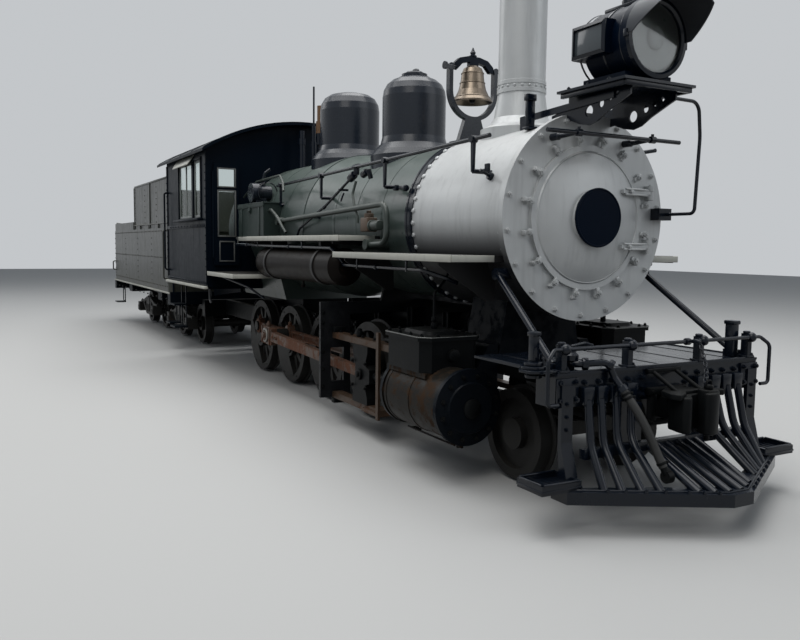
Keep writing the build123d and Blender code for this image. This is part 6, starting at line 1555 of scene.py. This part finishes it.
# Front cab doors: mouldings, panes and handles that swing with them
DOOR_PANES = ((1.80, 2.37), (2.43, 2.65))
for side, side_name in SIDE_NAME.items():
    middle_y = side * 1.09
    door_x = -5.58 + 0.0341
    parts = []
    for low, high in DOOR_PANES:
        for y in (middle_y - 0.113, middle_y + 0.113):
            parts.append(block(
                (0.010, 0.018, high - low + 0.03), at(door_x + 0.004, y, (low + high) / 2), 0.003,
            ))
        for z in (low - 0.006, high + 0.006):
            parts.append(block((0.010, 0.23, 0.018), at(door_x + 0.004, middle_y, z), 0.003))
    for y in (middle_y - 0.095, middle_y + 0.095):
        parts.append(block((0.010, 0.016, 0.25), at(door_x + 0.004, y, 1.60), 0.003))
    for z in (1.475, 1.725):
        parts.append(block((0.010, 0.206, 0.016), at(door_x + 0.004, middle_y, z), 0.003))
    inner = side * 0.955
    parts += [
        drum(0.018, 0.03, at(door_x + 0.014, inner, 1.77), AHEAD, 0.004, 16),
        pipe([(door_x + 0.026, inner, 1.77), (door_x + 0.03, inner, 1.70)], 0.008),
    ]
    # The door mouldings are painted pale as a painted highlight along their raised edges
    dress(parts, f"cab_door_mouldings_{side_name}", f"cab_door_{side_name}", "cab_black", worn_and_highlight_edge)
    glass_parts = [
        block((0.004, 0.212, high - low + 0.002), at(door_x - 0.017, middle_y, (low + high) / 2), 0.0)
        for low, high in DOOR_PANES
    ]
    dress(glass_parts, f"cab_door_panes_{side_name}", f"cab_door_{side_name}", "cab_black", pane_glass)

# Cab: pale sills and wall rivets
sill_parts = []
wall_rivets = []
for side in SIDES:
    sill_parts.append(block((2.27, 0.05, 0.035), at(-6.715, side * (CAB_HALF + 0.018), 1.128), 0.006))
    rivet_y = side * (CAB_HALF + 0.0121)
    for k in range(24):
        wall_rivets.append((at(-5.66 - 0.088 * k, rivet_y, 1.185), (0, side, 0)))
        if k % 2 == 0:
            wall_rivets.append((at(-5.66 - 0.088 * k, rivet_y, 1.93), (0, side, 0)))
    for k in range(15):
        for x in (-5.605, -7.825):
            wall_rivets.append((at(x, rivet_y, 1.30 + 0.10 * k), (0, side, 0)))
dress(sill_parts, "cab_sills", "engine", "board_dark", board_white)
dress(rivets(0.010, wall_rivets), "cab_wall_rivets", "engine", "cab_black")

# Cab roof: strips over edges and seams, the hatch on its runners
ROOF_R = 2.627
ROOF_TOP = RAIL + 3.31


def roof_z(y):
    """Height of the roof's outside at y."""
    return ROOF_TOP - ROOF_R + math.sqrt(ROOF_R**2 - y**2)


roof_parts = []
for x, wide in ((-5.475, 0.04), (-6.12, 0.02), (-6.78, 0.02), (-7.45, 0.02), (-8.125, 0.04)):
    rows = [1.40 * k / 12 for k in range(-12, 13)]
    outline = [(FRONT + x - wide / 2, y, roof_z(y) + 0.008) for y in rows]
    outline += [(FRONT + x - wide / 2, y, roof_z(y) - 0.004) for y in reversed(rows)]
    roof_parts.append(prism(outline, Vector((wide, 0, 0)), 0.0))
for y in (-0.34, 0.34):
    roof_parts.append(block((1.55, 0.03, 0.03), at(-6.85, y, roof_z(y) - RAIL + 0.012), 0.004))
roof_parts += [
    block((0.72, 0.70, 0.024), at(-6.60, 0, 3.328), 0.006),
    block((0.05, 0.16, 0.03), at(-6.93, 0, 3.350), 0.008),
]
dress(roof_parts, "roof_strips_and_hatch", "engine", "cab_black")

# Backhead: blank gauges, water glasses, valve wheels and the fire door's latch and hinges
gauge_parts = []
dial_parts = []
for y, z, r in ((-0.22, 2.80, 0.09), (0.0, 2.84, 0.07), (0.22, 2.80, 0.09)):
    gauge_parts += [
        drum(r, 0.06, at(-6.555, y, z), AHEAD, 0.010, 32),
        pipe([(-6.54, y, z - r), (-6.54, y, z - r - 0.06), (-6.52, y * 0.9, 2.66)], 0.007, 0.02),
    ]
    dial_parts.append(drum(r * 0.86, 0.004, at(-6.5865, y, z), AHEAD, 0.001, 32))
for y in (-0.46, 0.46):
    gauge_parts.append(drum(0.016, 0.30, at(-6.52, y, 2.20), UP, 0.004, 16))
    for z in (2.04, 2.36):
        gauge_parts += [
            drum(0.020, 0.09, at(-6.50, y, z), AHEAD, 0.006, 12),
            drum(0.030, 0.012, at(-6.55, y, z), AHEAD, 0.004, 20),
        ]
for y, z in ((-0.34, 2.42), (-0.20, 2.44), (0.30, 2.44), (0.40, 1.95)):
    gauge_parts += [
        drum(0.045, 0.012, at(-6.60, y, z), AHEAD, 0.004, 24),
        drum(0.010, 0.14, at(-6.53, y, z), AHEAD, 0.003, 12),
    ]
gauge_parts.append(block((0.03, 0.10, 0.03), at(-6.58, -0.16, 1.63), 0.006))
for z in (1.48, 1.74):
    gauge_parts.append(block((0.02, 0.16, 0.04), at(-6.57, 0.20, z), 0.005))
dress(gauge_parts, "backhead_gauges_and_valves", "engine", "frame_black")
dial_paint = weathered("blank_gauge_dial", (0.50, 0.49, 0.44), 0.4, 0.6, 0.02, 0.1, 0.1)
dress(dial_parts, "blank_gauge_dials", "engine", "frame_black", dial_paint)

# Brake shoes behind each driver, with hangers and cross beams; springs over the axle boxes
SHOE_INNER_R = 0.479
SHOE_OUTER_R = 0.527
brake_parts = []
spring_parts = []
for x in DRIVER_X:
    for side in SIDES:
        arc = [math.radians(180 + turn) for turn in range(-24, 25, 6)]
        inner = [
            (x + SHOE_INNER_R * math.cos(t), side * 0.465, DRIVER_Z - SHOE_INNER_R * math.sin(t)) for t in arc
        ]
        outer = [
            (x + SHOE_OUTER_R * math.cos(t), side * 0.465, DRIVER_Z - SHOE_OUTER_R * math.sin(t))
            for t in reversed(arc)
        ]
        brake_parts += [
            prism(inner + outer, Vector((0, side * 0.078, 0)), 0.004),
            block((0.03, 0.022, 0.56), (x - 0.530, side * 0.455, RAIL + 0.62), 0.005, (0, 0.03, 0)),
            drum(0.018, 0.10, (x - 0.530, side * 0.43, RAIL + 0.86), ACROSS, 0.004, 16),
            drum(0.014, 0.07, (x - 0.528, side * 0.47, DRIVER_Z), ACROSS, 0.004, 12),
        ]
        for k in range(5):
            spring_parts.append(block(
                (0.80 - 0.15 * k, 0.072, 0.014), (x, side * 0.37, RAIL + 0.862 + 0.015 * k), 0.002,
            ))
        spring_parts.append(block((0.075, 0.092, 0.095), (x, side * 0.37, RAIL + 0.892), 0.006))
        for end in (-0.375, 0.375):
            spring_parts.append(block((0.03, 0.084, 0.09), (x + end, side * 0.37, RAIL + 0.838), 0.004))
    brake_parts.append(drum(0.020, 0.94, (x - 0.545, 0, RAIL + 0.40), ACROSS, 0.004, 16))
dress(brake_parts, "driver_brakes", "engine", "frame_black")
dress(spring_parts, "driver_springs", "engine", "frame_black")

# Brake cylinder and waist sheets between the frames, under the barrel
belly_parts = [
    drum(0.165, 1.80, at(-2.12, 0, 1.0), AHEAD, 0.03, 40),
    drum(0.125, 0.10, at(-1.20, 0, 1.0), AHEAD, 0.02, 32),
]
for x in (-1.45, -2.10, -2.80, -3.45):
    belly_parts.append(block((0.014, 0.66, 0.30), at(x, 0, 0.96), 0.004))
    for y in (-0.30, 0.30):
        belly_parts.append(block((0.05, 0.014, 0.30), at(x + 0.03, y, 0.96), 0.003))
for x in (-1.32, -2.92):
    belly_parts.append(ring(0.164, 0.172, 0.02, 0.016, at(x, 0, 1.0), steps=40))
dress(belly_parts, "brake_cylinder_and_sheets", "engine", "frame_black")

# Left side: the air pump's pipes, a reach rod and the feed pipe
left_parts = [
    pipe([(-2.95, 0.90, 2.34), (-2.95, 0.90, 2.44), (-2.75, 0.78, 2.50), (-2.50, 0.64, 2.52)], 0.018, 0.08),
    pipe([(-2.80, 0.93, 1.95), (-2.60, 0.93, 1.95), (-1.60, 0.86, 1.95), (-1.30, 0.76, 1.97)], 0.022, 0.10),
    pipe([(-3.08, 0.95, 1.40), (-3.40, 0.95, 1.40), (-3.60, 0.90, 1.62)], 0.018, 0.08),
    pipe([(-4.0, 0.86, 2.10), (-4.8, 0.86, 2.14), (-5.575, 0.86, 2.16)], 0.012),
    drum(0.03, 0.06, at(-4.0, 0.84, 2.10), AHEAD, 0.006, 8),
]
dress(left_parts, "left_side_pipes", "engine", "pipe_metal")

# Tender: rivet rows, coal-board stakes, rails, ladder and grab irons
TANK_HALF = 1.2
COAL_BOARD_HALF = 1.16
tank_rivets = []
for side in SIDES:
    for z in (0.99, 1.46, 1.90):
        for k in range(42):
            tank_rivets.append(((TANK_FRONT - 0.14 - 0.124 * k, side * TANK_HALF, RAIL + z), (0, side, 0)))
    for x in (0.09, 1.35, 2.65, 3.95, 5.24):
        for k in range(8):
            tank_rivets.append(((TANK_FRONT - x, side * TANK_HALF, RAIL + 1.05 + 0.105 * k), (0, side, 0)))
    for x in (0.10, 1.10, 2.10, 3.04):
        for k in range(7):
            tank_rivets.append((
                (TANK_FRONT - x, side * COAL_BOARD_HALF, RAIL + 2.06 + 0.10 * k), (0, side, 0),
            ))
for z in (0.99, 1.46, 1.90):
    for k in range(18):
        tank_rivets.append(((TANK_REAR, -1.08 + 0.127 * k, RAIL + z), (-1, 0, 0)))
dress(rivets(0.011, tank_rivets), "tender_rivets", "tender", "cab_black", tank_finish)
tender_parts = []
for side in SIDES:
    for x in (0.03, 1.60, 3.07):
        tender_parts.append(block(
            (0.05, 0.016, 0.78), (TANK_FRONT - x - 0.035, side * 1.167, RAIL + 2.36), 0.004,
        ))
    tender_parts.append(block((3.03, 0.034, 0.03), (TANK_FRONT - 1.55, side * 1.158, RAIL + 2.765), 0.006))
    rail_y = side * 1.172
    rail = [
        (TANK_FRONT - 0.15, rail_y, RAIL + 1.96), (TANK_FRONT - 0.15, rail_y, RAIL + 2.03),
        (TANK_FRONT - 3.0, rail_y, RAIL + 2.03),
    ]
    tender_parts.append(tube(
        rail + [(TANK_REAR + 0.15, rail_y, RAIL + 2.12), (TANK_REAR + 0.15, rail_y, RAIL + 2.04)], 0.010,
        0.03,
    ))
    for x in (0.9, 1.7, 2.5):
        tender_parts.append(block((0.02, 0.02, 0.08), (TANK_FRONT - x, rail_y, RAIL + 1.99), 0.003))
    for x, top in ((TANK_FRONT - 0.10, 1.90), (TANK_REAR + 0.14, 1.30)):
        tender_parts.append(side_grab(x, side * 1.198, side * 1.262, RAIL + 1.12, RAIL + top, 0.013))
for y in (0.62, 0.96):
    tender_parts.append(block((0.012, 0.04, 1.22), (TANK_REAR - 0.050, y, RAIL + 1.42), 0.003))
    for z in (0.90, 2.0):
        tender_parts.append(block((0.055, 0.04, 0.012), (TANK_REAR - 0.028, y, RAIL + z), 0.003))
for z in (1.0, 1.25, 1.50, 1.75):
    tender_parts.append(drum(0.011, 0.36, (TANK_REAR - 0.050, 0.79, RAIL + z), ACROSS, 0.003, 12))
bar = [
    (TANK_REAR, -0.96, RAIL + 1.0), (TANK_REAR - 0.05, -0.96, RAIL + 1.0),
    (TANK_REAR - 0.05, -0.96, RAIL + 1.8), (TANK_REAR, -0.96, RAIL + 1.8),
]
tender_parts.append(tube(bar, 0.013, 0.03))
dress(tender_parts, "tender_stakes_rails_ladder", "tender", "cab_black", tank_finish)
tender_sill = [
    block((5.40, 0.012, 0.03), ((TENDER_FRONT + TENDER_REAR) / 2, side * 1.206, RAIL + 0.892), 0.003)
    for side in SIDES
]
dress(tender_sill, "tender_sill_lines", "tender", "board_dark", board_white)
sill_nuts = []
for side in SIDES:
    for k in range(14):
        sill_nuts.append(((TENDER_FRONT - 0.25 - 0.38 * k, side * 1.2001, RAIL + 0.79), (0, side, 0)))
dress(nuts(0.013, sill_nuts), "tender_frame_nuts", "tender", "truck_black")

# Tender trucks: journal-box lids, frame nuts and spring coils
for number, middle_x in ((1, TENDER_FRONT - 1.25), (2, TENDER_REAR + 1.35)):
    truck_parts = []
    for side in SIDES:
        for x in (middle_x - 0.685, middle_x + 0.685):
            z = RAIL + 0.34
            truck_parts += [
                block((0.15, 0.016, 0.155), (x, side * 0.817, z), 0.010, (side * 0.06, 0, 0)),
                drum(0.014, 0.15, (x, side * 0.812, z + 0.083), AHEAD, 0.004, 12),
                drum(0.040, 0.012, (x, side * 0.829, z - 0.01), ACROSS, 0.006, 24),
            ]
            for end in (-0.115, 0.115):
                truck_parts.append(nut_at(0.015, (x + end, side * 0.72, RAIL + 0.470)))
        for x in (middle_x - 0.075, middle_x + 0.075):
            for k in range(4):
                truck_parts.append(ring(
                    0.055, 0.066, 0.012, 0.006, (x, side * 0.72, RAIL + 0.295 + 0.038 * k), "Z", 24,
                ))
        for x in (middle_x - 0.17, middle_x + 0.17):
            truck_parts.append(nut_at(0.016, (x, side * 0.72, RAIL + 0.57)))
    dress(truck_parts, f"tender_truck_{number}_boxes_and_springs", f"tender_truck_{number}", "truck_black")

# Floor
bpy.ops.object.select_all(action="DESELECT")
bpy.ops.mesh.primitive_plane_add(size=90.0, location=(0, 0, 0))
floor = bpy.context.object
floor.name = "floor"
floor_material = bpy.data.materials.new("pale_floor")
floor_material.use_nodes = True
floor_tree = floor_material.node_tree
floor_shader = floor_tree.nodes["Principled BSDF"]
floor_shader.inputs["Roughness"].default_value = 0.95
floor_shader.inputs["Specular IOR Level"].default_value = 0.1
floor_colour = mix_node(floor_tree, seen_rays(floor_tree), (0.11, 0.105, 0.10), (0.50, 0.50, 0.49))
floor_tree.links.new(floor_colour, floor_shader.inputs["Base Color"])
floor.data.materials.append(floor_material)
